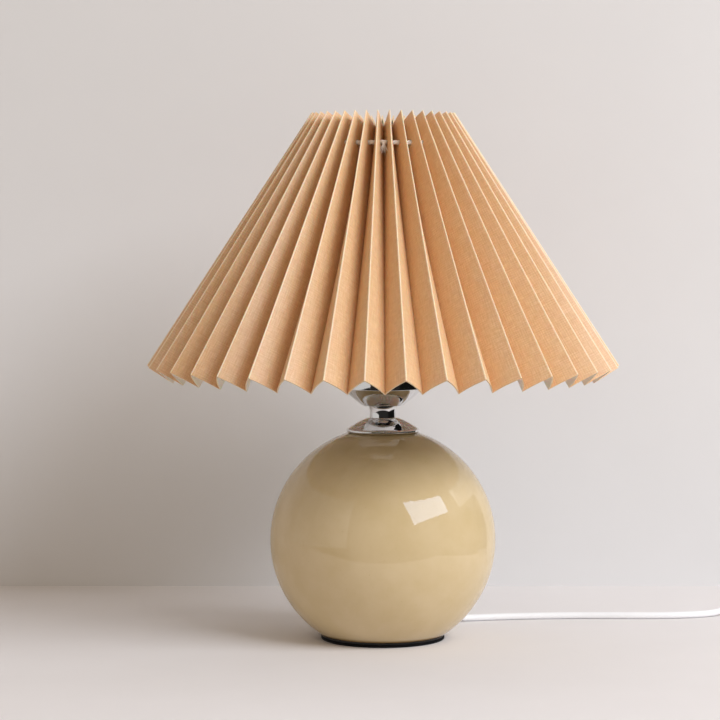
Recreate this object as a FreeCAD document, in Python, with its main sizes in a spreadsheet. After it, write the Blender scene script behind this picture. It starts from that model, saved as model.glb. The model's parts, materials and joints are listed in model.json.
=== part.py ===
"""Ceramic table lamp: a glazed ball foot, a chrome stem and lampholder, a pleated shade on a wire frame.

Millimetres, +Z up. The lamp's axis is Z, it stands on z = 0, and -Y is its front.
The cord leaves the ball low at the back, to the right.
"""
import FreeCAD, Part
import Sketcher
import math
import os
from types import SimpleNamespace

from FreeCAD import Placement, Rotation, Vector

os.makedirs("parts", exist_ok=True)
doc = FreeCAD.newDocument("table_lamp")

# Driving sizes, millimetres and degrees
SIZES = {
    # clearances, and how far a cutting tool runs past what it cuts
    "fit_gap": 0.2,
    "turning_gap": 0.3,
    "overrun": 2.0,
    # foot
    "pad_radius": 41.0,
    "pad_height": 1.9,
    "cover_radius": 40.7,
    "cover_height": 1.5,
    "cover_ring_height": 4.6,
    "cover_ring_wall": 1.6,
    # ball
    "globe_radius": 75.0,
    "globe_wall": 5.0,
    "globe_flat_drop": 12.6,
    "globe_floor": 5.0,
    "globe_opening_radius": 33.0,
    # cord and the hole that it leaves by
    "cord_radius": 2.3,
    "hole_radius": 4.1,
    "hole_azimuth": 50.0,
    "hole_dip": 35.0,
    "grommet_flange_radius": 6.4,
    "grommet_flange_height": 1.5,
    "grommet_nose_length": 8.0,
    "grommet_nose_root_radius": 4.8,
    "grommet_nose_tip_radius": 3.3,
    "grommet_tail_radius": 5.2,
    "grommet_tail_length": 9.0,
    # clamp stack under the ball's crown
    "gasket_height": 2.4,
    "washer_radius": 15.5,
    "washer_height": 2.0,
    "lock_washer_radius": 8.4,
    "lock_washer_height": 2.2,
    "lock_washer_slot": 1.6,
    "nut_width": 17.0,
    "nut_height": 5.0,
    "rod_radius": 5.0,
    "rod_bore_radius": 3.6,
    "rod_tail": 4.0,
    # flange, neck and cup, chromed
    "sheet_metal": 0.8,
    "flange_radius": 24.3,
    "flange_roll_radius": 1.6,
    "flange_rise": 8.3,
    "flange_land_radius": 10.0,
    "flange_crown_radius": 60.0,
    "neck_height": 7.9,
    "neck_foot_radius": 8.8,
    "neck_head_radius": 10.4,
    "neck_hollow_radius": 20.0,
    "cup_floor_radius": 12.6,
    "cup_corner_reach": 2.2,
    "cup_corner_bend": 3.5,
    "cup_corner_share": 0.6,
    "cup_rim_radius": 26.5,
    "cup_height": 11.6,
    "cup_bow_radius": 60.0,
    "cup_wall_height": 9.0,
    # lampholder
    "holder_radius": 21.0,
    "holder_wall": 1.2,
    "holder_boss_radius": 9.0,
    "holder_boss_foot": 1.6,
    "holder_boss_height": 9.0,
    "holder_dome_height": 10.4,
    "holder_dome_radius": 13.0,
    "holder_cap_height": 28.0,
    "shell_thread_radius": 19.4,
    "shell_bead_height": 1.6,
    "shell_height": 30.0,
    "shell_skirt_height": 6.0,
    "shell_lip": 1.0,
    "lock_screw_radius": 1.5,
    "lock_screw_length": 5.0,
    "insert_radius": 17.9,
    "insert_foot_height": 16.0,
    "insert_height": 34.0,
    "insert_recess": 25.2,
    "insert_collar_height": 2.2,
    "sleeve_wall": 0.5,
    "sleeve_radius": 13.6,
    "sleeve_height": 20.0,
    "contact_width": 6.0,
    "contact_thick": 0.5,
    "contact_length": 17.0,
    "terminal_circle_radius": 11.0,
    "terminal_head_radius": 2.6,
    "terminal_head_height": 1.8,
    "terminal_shank_radius": 1.5,
    "terminal_shank_length": 6.0,
    "wire_radius": 0.9,
    # shade rings
    "ring_radius": 27.0,
    "ring_height": 5.0,
    "ring_flute_radius": 1.8,
    "ring_flutes": 20,
    # shade frame
    "fitter_radius": 28.6,
    "fitter_thick": 1.5,
    "wire_frame_radius": 1.5,
    "frame_legs": 4,
    "top_ring_drop": 9.7,
    # pleated shade
    "pleats": 39,
    "strip_length": 198.7,
    "panel_width": 20.4,
    "paper_thick": 0.8,
    "shade_slope": 33.2,
    "ridge_top_radius": 46.9,
    "shade_drop": 8.9,
    # cord that gathers the pleats
    "gather_radius": 48.4,
    "gather_drop": 20.5,
    "gather_cord_radius": 1.5,
    "gather_hole_radius": 1.9,
    "knot_radius": 2.3,
    "knot_end_radius": 1.3,
    "knot_length": 3.7,
    "knot_reach": 3.0,
    "knot_tail": 8.0,
    # bulb
    "bulb_radius": 22.5,
    "bulb_height": 78.0,
    "bulb_wall": 1.2,
    "bulb_cap_radius": 13.2,
    "bulb_cap_height": 21.5,
    "bulb_insulator_height": 3.2,
    "bulb_insulator_radius": 6.5,
    "bulb_tip_radius": 4.6,
    "bulb_tip_height": 1.0,
    "bulb_collar_radius": 14.2,
    "bulb_dome_drop": 9.5,
    "bulb_gate_radius": 0.8,
    # switch on the cord
    "switch_length": 62.0,
    "switch_end_half": 9.0,
    "switch_waist_half": 14.0,
    "switch_base_height": 8.5,
    "switch_cover_height": 10.5,
    "switch_wall": 2.0,
    "switch_corner": 3.0,
    "switch_x": 315.0,
    "switch_y": 93.0,
    "rocker_length": 18.4,
    "rocker_width": 11.0,
    "rocker_end_height": 3.6,
    "rocker_waist_height": 2.4,
    "rocker_end_depth": 3.0,
    "rocker_depth": 3.6,
    "rocker_foot": 6.0,
    "rocker_end_gap": 0.7,
    "rocker_tilt": 9.0,
    "rocker_pin_radius": 1.2,
    "rocker_pin_drop": 3.2,
    "cheek_length": 5.6,
    "cheek_thick": 1.6,
    "switch_screw_radius": 1.4,
    "switch_screw_head_radius": 2.5,
    "switch_screw_head_height": 1.6,
    "switch_screw_offset": 19.0,
    "switch_boss_radius": 3.2,
    "switch_contact_length": 14.0,
    "switch_contact_width": 12.0,
    "switch_contact_height": 5.0,
    "relief_length": 20.0,
    "relief_root_radius": 4.2,
    "relief_tip_radius": 3.1,
    "relief_collar_radius": 5.2,
    "relief_collar_length": 1.6,
    # plug
    "plug_x": 304.0,
    "plug_length": 34.0,
    "plug_width": 35.3,
    "plug_face_length": 10.0,
    "plug_tail_width": 13.0,
    "plug_thick": 13.6,
    "plug_corner": 3.0,
    "plug_side_corner": 4.5,
    "plug_hollow_radius": 45.0,
    "plug_sleeve_radius": 5.2,
    "pin_radius": 2.0,
    "pin_length": 19.0,
    "pin_root": 9.0,
    "pin_root_radius": 1.6,
    "pin_neck": 0.5,
    "pin_spacing": 18.6,
    # coil of spare cord
    "coil_x": 409.6,
    "coil_outer_radius": 32.6,
    "coil_pitch": 5.1,
    "coil_layers": 4,
    "coil_turns": 7.5,
    "cord_rest_height": 2.35,
}

sheet = doc.addObject("Spreadsheet::Sheet", "sizes")
for row, (alias, number) in enumerate(SIZES.items(), start=1):
    sheet.set("A%d" % row, alias)
    sheet.set("B%d" % row, str(number))
    sheet.setAlias("B%d" % row, alias)
doc.recompute()


class Size:
    """A length or a place: its number, and the sheet formula that gives it."""

    def __init__(self, number, formula):
        self.number = number
        self.formula = formula

    def __add__(self, other):
        other = as_size(other)
        return Size(self.number + other.number, "(%s + %s)" % (self.formula, other.formula))

    def __sub__(self, other):
        other = as_size(other)
        return Size(self.number - other.number, "(%s - %s)" % (self.formula, other.formula))

    def __mul__(self, other):
        other = as_size(other)
        return Size(self.number * other.number, "(%s * %s)" % (self.formula, other.formula))

    def __truediv__(self, other):
        other = as_size(other)
        return Size(self.number / other.number, "(%s / %s)" % (self.formula, other.formula))

    def __neg__(self):
        return Size(-self.number, "(0 - %s)" % self.formula)


def as_size(value):
    return value if isinstance(value, Size) else Size(float(value), repr(value))


def root(size):
    return Size(math.sqrt(size.number), "sqrt(%s)" % size.formula)


def leg(long_side, short_side):
    """The other short side of a right triangle."""
    return root(long_side * long_side - short_side * short_side)


z = SimpleNamespace(**{alias: Size(float(sheet.get(alias)), "sizes." + alias) for alias in SIZES})

# Levels and fits worked out from the driving sizes
foot_top = z.pad_height + z.cover_height
globe_rise = z.globe_radius - z.globe_flat_drop
globe_centre = foot_top + globe_rise
globe_inner_radius = z.globe_radius - z.globe_wall
rod_hole_radius = z.rod_radius + z.fit_gap
roll_in = z.flange_radius - z.flange_roll_radius
flange_roll_centre = globe_centre + leg(z.globe_radius + z.flange_roll_radius, roll_in)
flange_top = flange_roll_centre + z.flange_rise
neck_top = flange_top + z.neck_height
cup_floor = neck_top + z.sheet_metal
cup_shoulder = neck_top + z.cup_height
cup_rim = cup_shoulder + z.cup_wall_height
holder_cap_top = cup_floor + z.holder_cap_height
holder_top = holder_cap_top + z.shell_height
bead_top = holder_cap_top + z.shell_bead_height
lower_ring_top = bead_top + z.ring_height
fitter_bottom = lower_ring_top + z.turning_gap
fitter_top = fitter_bottom + z.fitter_thick
upper_ring_bottom = fitter_top + z.turning_gap
rod_top = cup_floor + z.holder_boss_height
gasket_seat = leg(globe_inner_radius, rod_hole_radius)
washer_top = globe_centre + gasket_seat - z.gasket_height - z.fit_gap
lock_washer_top = washer_top - z.washer_height
nut_top = lock_washer_top - z.lock_washer_height
nut_bottom = nut_top - z.nut_height
rod_bottom = nut_bottom - z.rod_tail
insert_bottom = cup_floor + z.insert_foot_height
insert_top = insert_bottom + z.insert_height
insert_floor = insert_top - z.insert_recess
contact_top = insert_floor + z.contact_thick * 2
bulb_bottom = contact_top + z.turning_gap
shell_bore_radius = z.shell_thread_radius - z.holder_wall
cord_bore_radius = z.cord_radius + z.fit_gap / 2

nodes = []


def keep(thing, label):
    """Names a finished piece and puts it on the list of pieces to write."""
    thing.Label = label
    nodes.append(thing)
    return thing


def make_solid(label, shape):
    """A piece whose shape comes from Part's own functions."""
    thing = doc.addObject("Part::Feature", label)
    thing.Shape = shape
    return thing


def new_sketch(body, role):
    sketch = body.newObject("Sketcher::SketchObject", body.Name + "_sketch")
    plane = next(feature for feature in body.Origin.OriginFeatures if feature.Role == role)
    sketch.AttachmentSupport = (plane, [""])
    sketch.MapMode = "FlatFace"
    return sketch


def arc(radius, side):
    """An arc between two corners: side is 1 if its centre is on the left of the way, and -1 on the right."""
    return ("arc", radius, side)


def arc_between(begin, end, radius, side):
    """The short arc from begin to end as a counterclockwise arc."""
    chord = end - begin
    half = chord.Length / 2
    left = Vector(-chord.y, chord.x, 0) / chord.Length
    centre = (begin + end) / 2 + left * side * math.sqrt(max(radius * radius - half * half, 0))
    first, last = (begin, end) if side > 0 else (end, begin)
    angles = [math.atan2(point.y - centre.y, point.x - centre.x) for point in (first, last)]
    return Part.ArcOfCircle(Part.Circle(centre, Vector(0, 0, 1), radius), *angles)


def draw_outline(sketch, outline):
    """Joins an outline's corners with lines, or arcs where one is named, each corner bound to its sizes."""
    corners = [item for item in outline if item[0] != "arc"]
    corners = [(as_size(x), as_size(y)) for x, y in corners]
    arcs = {}
    count = 0
    for item in outline:
        if item[0] == "arc":
            arcs[count - 1] = item
        else:
            count += 1
    points = [Vector(x.number, y.number, 0) for x, y in corners]
    begins = []
    for index, begin in enumerate(points):
        end = points[(index + 1) % len(points)]
        if index in arcs:
            _, radius, side = arcs[index]
            sketch.addGeometry(arc_between(begin, end, radius.number, side))
            begins.append(1 if side > 0 else 2)
            bound = sketch.addConstraint(Sketcher.Constraint("Radius", index, radius.number))
            sketch.setExpression("Constraints[%d]" % bound, radius.formula)
        else:
            sketch.addGeometry(Part.LineSegment(begin, end))
            begins.append(1)
    for index, begin in enumerate(begins):
        before = index - 1 if index else len(points) - 1
        sketch.addConstraint(Sketcher.Constraint("Coincident", before, 3 - begins[before], index, begin))
    for index, (corner, begin) in enumerate(zip(corners, begins)):
        for kind, axis, place in (("DistanceX", -2, corner[0]), ("DistanceY", -1, corner[1])):
            if place.number == 0:
                sketch.addConstraint(Sketcher.Constraint("PointOnObject", index, begin, axis))
            else:
                bound = sketch.addConstraint(Sketcher.Constraint(kind, -1, 1, index, begin, place.number))
                sketch.setExpression("Constraints[%d]" % bound, place.formula)


def revolve(label, outline):
    """A turned piece: its outline beside the Z axis, X to the right and Z up, swept all the way round."""
    body = doc.addObject("PartDesign::Body", label)
    sketch = new_sketch(body, "XZ_Plane")
    draw_outline(sketch, outline)
    turn = body.newObject("PartDesign::Revolution", label + "_turn")
    turn.Profile = sketch
    turn.ReferenceAxis = (sketch, ["V_Axis"])
    turn.Angle = 360
    body.Tip = turn
    return body


def extrude(label, outline, height, role="XY_Plane", symmetric=False):
    """A piece of one thickness: its outline on a base plane, padded by height."""
    body = doc.addObject("PartDesign::Body", label)
    sketch = new_sketch(body, role)
    draw_outline(sketch, outline)
    pad = body.newObject("PartDesign::Pad", label + "_pad")
    pad.Profile = sketch
    pad.Length = height.number
    pad.setExpression("Length", height.formula)
    pad.SideType = "Symmetric" if symmetric else "One side"
    body.Tip = pad
    return body


def round_edges(body, edges, radius):
    """Fillets the edges of the tip that the test picks."""
    doc.recompute()
    tip = body.Tip
    names = ["Edge%d" % (i + 1) for i, edge in enumerate(tip.Shape.Edges) if edges(edge)]
    fillet = body.newObject("PartDesign::Fillet", body.Name + "_fillet")
    fillet.Base = (tip, names)
    fillet.Radius = radius.number
    fillet.setExpression("Radius", radius.formula)
    body.Tip = fillet
    return body


def cylinder(label, radius, height, x=0, y=0, bottom=0):
    """A round bar that stands at x, y with its lower end at bottom."""
    bar = doc.addObject("Part::Cylinder", label)
    bar.setExpression("Radius", radius.formula)
    bar.setExpression("Height", height.formula)
    place(bar, x, y, bottom)
    return bar


def place(thing, x=0, y=0, level=0):
    """Binds a piece's place to its sizes."""
    for axis, value in (("x", x), ("y", y), ("z", level)):
        thing.setExpression("Placement.Base." + axis, as_size(value).formula)
    return thing


def cut(label, base, *tools):
    """The base less its tools, one after another."""
    for number, tool in enumerate(tools, start=1):
        last = number == len(tools)
        result = doc.addObject("Part::Cut", label if last else "%s_cut%d" % (label, number))
        result.Base = base
        result.Tool = tool
        base = result
    return base


def join(label, *things):
    """Pieces kept together in one node, fused where they touch."""
    result = doc.addObject("Part::MultiFuse", label)
    result.Shapes = list(things)
    return result


# Foot: a soft pad under a moulded cover that plugs the ball's opening
pad_outline = [(0, 0), (z.pad_radius, 0), (z.pad_radius, z.pad_height), (0, z.pad_height)]
keep(revolve("foot_pad_turned", pad_outline), "foot_pad")

ring_outer = z.globe_opening_radius - z.turning_gap
ring_top = foot_top + z.cover_ring_height
keep(
    revolve(
        "base_cover_turned",
        [
            (0, z.pad_height),
            (z.cover_radius, z.pad_height),
            (z.cover_radius, foot_top),
            (ring_outer, foot_top),
            (ring_outer, ring_top),
            (ring_outer - z.cover_ring_wall, ring_top),
            (ring_outer - z.cover_ring_wall, foot_top),
            (0, foot_top),
        ],
    ),
    "base_cover",
)

# Ball: slip-cast, one wall all round, open at the foot, drilled at the crown and for the cord
globe_floor = foot_top + z.globe_floor
globe = revolve(
    "globe_blank",
    [
        (z.globe_opening_radius, foot_top),
        (leg(z.globe_radius, globe_rise), foot_top),
        arc(z.globe_radius, 1),
        (rod_hole_radius, globe_centre + leg(z.globe_radius, rod_hole_radius)),
        (rod_hole_radius, globe_centre + gasket_seat),
        arc(globe_inner_radius, -1),
        (leg(globe_inner_radius, globe_centre - globe_floor), globe_floor),
        (z.globe_opening_radius, globe_floor),
    ],
)
hole_turn = Rotation(Vector(0, 0, 1), z.hole_azimuth.number) * Rotation(Vector(0, 1, 0), 90 + z.hole_dip.number)
hole_frame = Placement(Vector(0, 0, globe_centre.number), hole_turn)
cord_hole = cylinder("cord_hole", z.hole_radius, z.globe_radius + z.overrun)
cord_hole.Placement = hole_frame
cord_hole.setExpression("Placement.Base.z", globe_centre.formula)
keep(cut("globe_drilled", globe, cord_hole), "ceramic_globe")

# Grommet: snapped into the cord hole, with a tapered nose outside and a flared tail inside
hole_wall_out = leg(z.globe_radius, z.hole_radius)
hole_wall_in = leg(globe_inner_radius, z.grommet_tail_radius)
grommet_radius = z.hole_radius - z.fit_gap / 2
nose_root = z.globe_radius + z.grommet_flange_height
nose_tip = z.globe_radius + z.grommet_nose_length
tail_end = hole_wall_in - z.grommet_tail_length
grommet = revolve(
    "grommet_turned",
    [
        (cord_bore_radius, tail_end),
        (z.grommet_nose_tip_radius, tail_end),
        (z.grommet_tail_radius, hole_wall_in - z.grommet_flange_height),
        (z.grommet_tail_radius, hole_wall_in),
        (grommet_radius, hole_wall_in),
        (grommet_radius, hole_wall_out),
        (z.grommet_flange_radius, hole_wall_out),
        (z.grommet_flange_radius, nose_root),
        (z.grommet_nose_root_radius, nose_root + z.fit_gap),
        (z.grommet_nose_tip_radius, nose_tip),
        (cord_bore_radius, nose_tip),
    ],
)
grommet.Placement = hole_frame
grommet.setExpression("Placement.Base.z", globe_centre.formula)
keep(grommet, "cord_grommet")

# Clamp stack inside the crown: rubber gasket, washer, split lock washer and nut on a hollow threaded rod
gasket_edge = leg(globe_inner_radius, z.washer_radius - z.fit_gap)
keep(
    revolve(
        "gasket_turned",
        [
            (rod_hole_radius, washer_top),
            (z.washer_radius - z.fit_gap, washer_top),
            (z.washer_radius - z.fit_gap, globe_centre + gasket_edge - z.fit_gap),
            arc(globe_inner_radius, 1),
            (rod_hole_radius, globe_centre + gasket_seat - z.fit_gap),
        ],
    ),
    "crown_gasket",
)


def washer(label, radius, top, height):
    bottom = top - height
    return revolve(label, [(rod_hole_radius, bottom), (radius, bottom), (radius, top), (rod_hole_radius, top)])


keep(washer("clamp_washer_turned", z.washer_radius, washer_top, z.washer_height), "clamp_washer")

split = doc.addObject("Part::Box", "lock_washer_gap")
split.setExpression("Length", z.lock_washer_radius.formula)
split.setExpression("Width", z.lock_washer_slot.formula)
split.setExpression("Height", (z.lock_washer_height + z.overrun * 2).formula)
place(split, 0, -z.lock_washer_slot / 2, nut_top - z.overrun)
lock_ring = washer("lock_washer_turned", z.lock_washer_radius, lock_washer_top, z.lock_washer_height)
keep(cut("lock_washer_split", lock_ring, split), "lock_washer")

nut_blank = doc.addObject("Part::Prism", "nut_blank")
nut_blank.Polygon = 6
nut_blank.setExpression("Circumradius", (z.nut_width / root(as_size(3))).formula)
nut_blank.setExpression("Height", z.nut_height.formula)
place(nut_blank, 0, 0, nut_bottom)
nut_bore = cylinder("nut_bore", rod_hole_radius, z.nut_height + z.overrun * 2, 0, 0, nut_bottom - z.overrun)
keep(cut("nut_bored", nut_blank, nut_bore), "clamp_nut")

keep(
    revolve(
        "rod_turned",
        [
            (z.rod_bore_radius, rod_bottom),
            (z.rod_radius, rod_bottom),
            (z.rod_radius, rod_top),
            (z.rod_bore_radius, rod_top),
        ],
    ),
    "threaded_rod",
)

# Flange: a spun cover with a rolled rim that rests on the ball
crown_out = roll_in + z.flange_roll_radius / 4
crown_rise = leg(z.flange_roll_radius, z.flange_roll_radius / 4)
keep(
    revolve(
        "flange_turned",
        [
            (rod_hole_radius, flange_top - z.sheet_metal),
            (z.flange_land_radius - z.sheet_metal / 2, flange_top - z.sheet_metal),
            arc(z.flange_crown_radius, -1),
            (roll_in - z.sheet_metal, flange_roll_centre),
            (roll_in, flange_roll_centre - z.flange_roll_radius),
            arc(z.flange_roll_radius, 1),
            (z.flange_radius, flange_roll_centre),
            arc(z.flange_roll_radius, 1),
            (crown_out, flange_roll_centre + crown_rise),
            arc(z.flange_crown_radius, 1),
            (z.flange_land_radius, flange_top),
            (rod_hole_radius, flange_top),
        ],
    ),
    "flange",
)

# Neck: a turned spacer, waisted, that flares to carry the cup
keep(
    revolve(
        "neck_turned",
        [
            (rod_hole_radius, flange_top),
            (z.neck_foot_radius, flange_top),
            arc(z.neck_hollow_radius, -1),
            (z.neck_head_radius, neck_top - z.sheet_metal / 2),
            (z.neck_head_radius - z.sheet_metal / 2, neck_top),
            (rod_hole_radius, neck_top),
        ],
    ),
    "neck",
)

# Cup: a spun dish with an upright wall that hides the foot of the lampholder
corner_reach = z.cup_floor_radius + z.cup_corner_reach
corner_rise = z.cup_corner_reach / 2
corner_wall = z.sheet_metal * z.cup_corner_share
keep(
    revolve(
        "cup_turned",
        [
            (rod_hole_radius, neck_top),
            (z.cup_floor_radius, neck_top),
            arc(z.cup_corner_bend, 1),
            (corner_reach, neck_top + corner_rise),
            arc(z.cup_bow_radius, 1),
            (z.cup_rim_radius, cup_shoulder),
            (z.cup_rim_radius, cup_rim),
            (z.cup_rim_radius - z.sheet_metal, cup_rim),
            (z.cup_rim_radius - z.sheet_metal, cup_shoulder),
            arc(z.cup_bow_radius, -1),
            (corner_reach - corner_wall, neck_top + corner_rise + corner_wall),
            (z.cup_floor_radius, cup_floor),
            (rod_hole_radius, cup_floor),
        ],
    ),
    "cup",
)

# Lampholder cap: a domed shell with a threaded boss that screws down on the rod and clamps everything
dome_top = cup_floor + z.holder_dome_height
boss_top = cup_floor + z.holder_boss_height
cap_bore = z.holder_radius - z.holder_wall
holder_cap_blank = revolve(
    "holder_cap_turned",
    [
        (z.rod_radius, cup_floor),
        (z.holder_boss_radius, cup_floor),
        (z.holder_boss_radius, cup_floor + z.holder_boss_foot),
        arc(z.holder_dome_radius, 1),
        (z.holder_radius, dome_top),
        (z.holder_radius, holder_cap_top),
        (cap_bore, holder_cap_top),
        (cap_bore, dome_top),
        arc(z.holder_dome_radius, -1),
        (z.holder_boss_radius, cup_floor + z.holder_boss_foot + z.holder_wall),
        (z.holder_boss_radius - z.holder_wall, boss_top),
        (z.rod_radius, boss_top),
    ],
)
lock_level = boss_top - z.lock_screw_radius * 2
lock_hole = cylinder("lock_screw_hole", z.lock_screw_radius, z.holder_boss_radius)
lock_frame = Rotation(Vector(0, 1, 0), -90)
lock_hole.Placement = Placement(Vector(0, 0, 0), lock_frame)
place(lock_hole, 0, 0, lock_level)
keep(cut("holder_cap_drilled", holder_cap_blank, lock_hole), "holder_cap")

lock_screw = cylinder("lock_screw_bar", z.lock_screw_radius, z.lock_screw_length)
lock_screw.Placement = Placement(Vector(0, 0, 0), lock_frame)
place(lock_screw, -z.rod_radius, 0, lock_level)
keep(lock_screw, "holder_lock_screw")

# Lampholder shell: threaded outside for the shade rings, with a bead that stops them
keep(
    revolve(
        "holder_shell_turned",
        [
            (shell_bore_radius, holder_cap_top - z.shell_skirt_height),
            (z.shell_thread_radius, holder_cap_top - z.shell_skirt_height),
            (z.shell_thread_radius, holder_cap_top),
            (z.holder_radius, holder_cap_top),
            (z.holder_radius, bead_top),
            (z.shell_thread_radius, bead_top),
            (z.shell_thread_radius, holder_top),
            (shell_bore_radius - z.shell_lip, holder_top),
            (shell_bore_radius - z.shell_lip, holder_top - z.holder_wall),
            (shell_bore_radius, holder_top - z.holder_wall),
        ],
    ),
    "holder_shell",
)

# Porcelain insert with the screw sleeve, the centre contact and two terminals
recess_radius = z.sleeve_radius + z.sleeve_wall + z.fit_gap
collar_top = holder_cap_top - z.shell_skirt_height - z.fit_gap
insert_blank = revolve(
    "insert_turned",
    [
        (0, insert_bottom),
        (z.insert_radius, insert_bottom),
        (z.insert_radius, collar_top - z.insert_collar_height),
        (cap_bore - z.fit_gap, collar_top - z.insert_collar_height),
        (cap_bore - z.fit_gap, collar_top),
        (z.insert_radius, collar_top),
        (z.insert_radius, insert_top),
        (recess_radius, insert_top),
        (recess_radius, insert_floor),
        (0, insert_floor),
    ],
)
terminal_holes = [
    cylinder(
        "terminal_hole_%s" % word,
        z.terminal_shank_radius + z.fit_gap / 2,
        z.terminal_shank_length + z.overrun,
        side,
        0,
        insert_bottom - z.overrun,
    )
    for word, side in (("right", z.terminal_circle_radius), ("left", -z.terminal_circle_radius))
]
keep(cut("insert_drilled", insert_blank, *terminal_holes), "holder_insert")

screws = []
for word, side in (("right", z.terminal_circle_radius), ("left", -z.terminal_circle_radius)):
    head_bottom = insert_bottom - z.terminal_head_height
    head_radius, shank_radius = z.terminal_head_radius, z.terminal_shank_radius
    head = cylinder("terminal_head_" + word, head_radius, z.terminal_head_height, side, 0, head_bottom)
    shank = cylinder("terminal_shank_" + word, shank_radius, z.terminal_shank_length, side, 0, insert_bottom)
    screws += [head, shank]
keep(join("terminal_screw_pair", *screws), "terminal_screws")

sleeve_bottom = insert_floor + z.contact_thick * 2
keep(
    revolve(
        "contact_sleeve_turned",
        [
            (z.sleeve_radius, sleeve_bottom),
            (z.sleeve_radius + z.sleeve_wall, sleeve_bottom),
            (z.sleeve_radius + z.sleeve_wall, sleeve_bottom + z.sleeve_height),
            (z.sleeve_radius, sleeve_bottom + z.sleeve_height),
        ],
    ),
    "contact_sleeve",
)

# The centre contact is a strip whose middle is raised towards the bulb's tip
contact_end = z.contact_length / 2
contact_step = z.contact_length / 4
contact_low = insert_floor + z.contact_thick
centre_contact = extrude(
    "contact_strip",
    [
        (-contact_end, insert_floor),
        (contact_end, insert_floor),
        (contact_end, contact_low),
        (contact_step, contact_top),
        (-contact_step, contact_top),
        (-contact_end, contact_low),
    ],
    z.contact_width,
    role="XZ_Plane",
    symmetric=True,
)
keep(centre_contact, "centre_contact")


def fluted_ring(label, bottom):
    """A shade ring with finger grooves round its rim."""
    top = bottom + z.ring_height
    inner = z.shell_thread_radius + z.turning_gap
    body = revolve(label, [(inner, bottom), (z.ring_radius, bottom), (z.ring_radius, top), (inner, top)])
    sketch = new_sketch(body, "XY_Plane")
    middle = Vector(z.ring_radius.number, 0, 0)
    sketch.addGeometry(Part.Circle(middle, Vector(0, 0, 1), z.ring_flute_radius.number))
    sketch.addConstraint(Sketcher.Constraint("PointOnObject", 0, 3, -1))
    across = sketch.addConstraint(Sketcher.Constraint("DistanceX", -1, 1, 0, 3, z.ring_radius.number))
    sketch.setExpression("Constraints[%d]" % across, (z.ring_radius + z.ring_flute_radius / 2).formula)
    size = sketch.addConstraint(Sketcher.Constraint("Radius", 0, z.ring_flute_radius.number))
    sketch.setExpression("Constraints[%d]" % size, z.ring_flute_radius.formula)
    flute = body.newObject("PartDesign::Pocket", label + "_flute")
    flute.Profile = sketch
    flute.Type = "ThroughAll"
    flute.Reversed = True
    pattern = body.newObject("PartDesign::PolarPattern", label + "_flutes")
    pattern.Originals = [flute]
    pattern.Axis = (sketch, ["N_Axis"])
    pattern.Angle = 360
    pattern.setExpression("Occurrences", z.ring_flutes.formula)
    body.Tip = pattern
    return body


keep(fluted_ring("lower_ring_turned", bead_top), "lower_shade_ring")
keep(fluted_ring("upper_ring_turned", upper_ring_bottom), "upper_shade_ring")

# Internal cord: through the grommet, up in one wide bend and through the hollow rod to the lampholder
UP = Vector(0, 0, 1)


def tube_along(points, radius):
    """A round cord along straight runs, joined by tangent arcs that are as wide as the shorter run allows."""
    bend_share = 0.45
    edges = []
    radii = []
    start = points[0]
    for before, corner, after in zip(points, points[1:], points[2:]):
        back = (before - corner).normalize()
        on = (after - corner).normalize()
        reach = bend_share * min((before - corner).Length, (after - corner).Length)
        half_turn = (math.pi - back.getAngle(on)) / 2
        bend = reach / math.tan(half_turn)
        radii.append(bend)
        first = corner + back * reach
        last = corner + on * reach
        bisector = (back + on).normalize()
        middle = corner + bisector * (bend / math.cos(half_turn) - bend)
        edges.append(Part.LineSegment(start, first).toShape())
        edges.append(Part.Arc(first, middle, last).toShape())
        start = last
    edges.append(Part.LineSegment(start, points[-1]).toShape())
    return pipe(edges, radius), radii, sum(edge.Length for edge in edges)


def pipe(edges, radius):
    """A round solid along a path of edges in order."""
    path = Part.Wire(edges)
    start = edges[0].valueAt(edges[0].FirstParameter)
    way = edges[0].tangentAt(edges[0].FirstParameter)
    section = Part.Wire([Part.Circle(start, way, radius).toShape()])
    return path.makePipeShell([section], True, False)


def report_tube(label, shape, radius, length, radii):
    share = shape.Volume / (math.pi * radius * radius * length)
    bends = ", ".join("%.0f" % bend for bend in radii)
    print("%s: %.1f mm long, volume %.4f of section times length, bends %s mm" % (label, length, share, bends))


cord_radius = z.cord_radius.number
hole_way = hole_turn.multVec(UP)
ball_centre = Vector(0, 0, globe_centre.number)
nose_end = ball_centre + hole_way * nose_tip.number
inner_cord_shape, bends, length = tube_along([nose_end, ball_centre, Vector(0, 0, rod_top.number)], cord_radius)
report_tube("inner_cord", inner_cord_shape, cord_radius, length, bends)
keep(make_solid("inner_cord_swept", inner_cord_shape), "inner_cord")

# The two wires leave the cord's sheath above the rod and end beside the terminal screws
wire_radius = z.wire_radius.number
wire_level = (rod_top + insert_bottom - z.terminal_head_height / 2) / 2
wires = []
for side in (-1, 1):
    rise = [
        Vector(side * wire_radius * 1.2, 0, rod_top.number),
        Vector(side * wire_radius * 1.2, 0, wire_level.number),
        Vector(side * z.terminal_circle_radius.number, 0, wire_level.number),
        Vector(side * z.terminal_circle_radius.number, 0, head_bottom.number),
    ]
    wires.append(tube_along(rise, wire_radius)[0])
keep(make_solid("wires_swept", Part.makeCompound(wires)), "lead_wires")

# Pleated shade: one straight strip of laminated paper, folded to and fro and closed to a ring
pleats = int(z.pleats.number)
half_pitch = math.pi / pleats
slope = math.radians(z.shade_slope.number)
half_paper = z.paper_thick.number / 2
shade_bottom = fitter_bottom.number - z.shade_drop.number
strip_drop = z.strip_length.number * math.cos(slope)
strip_spread = z.strip_length.number * math.sin(slope)
gather_level = shade_bottom + strip_drop - z.gather_drop.number


def radial(radius, level, azimuth):
    return Vector(radius * math.cos(azimuth), radius * math.sin(azimuth), level)


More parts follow.
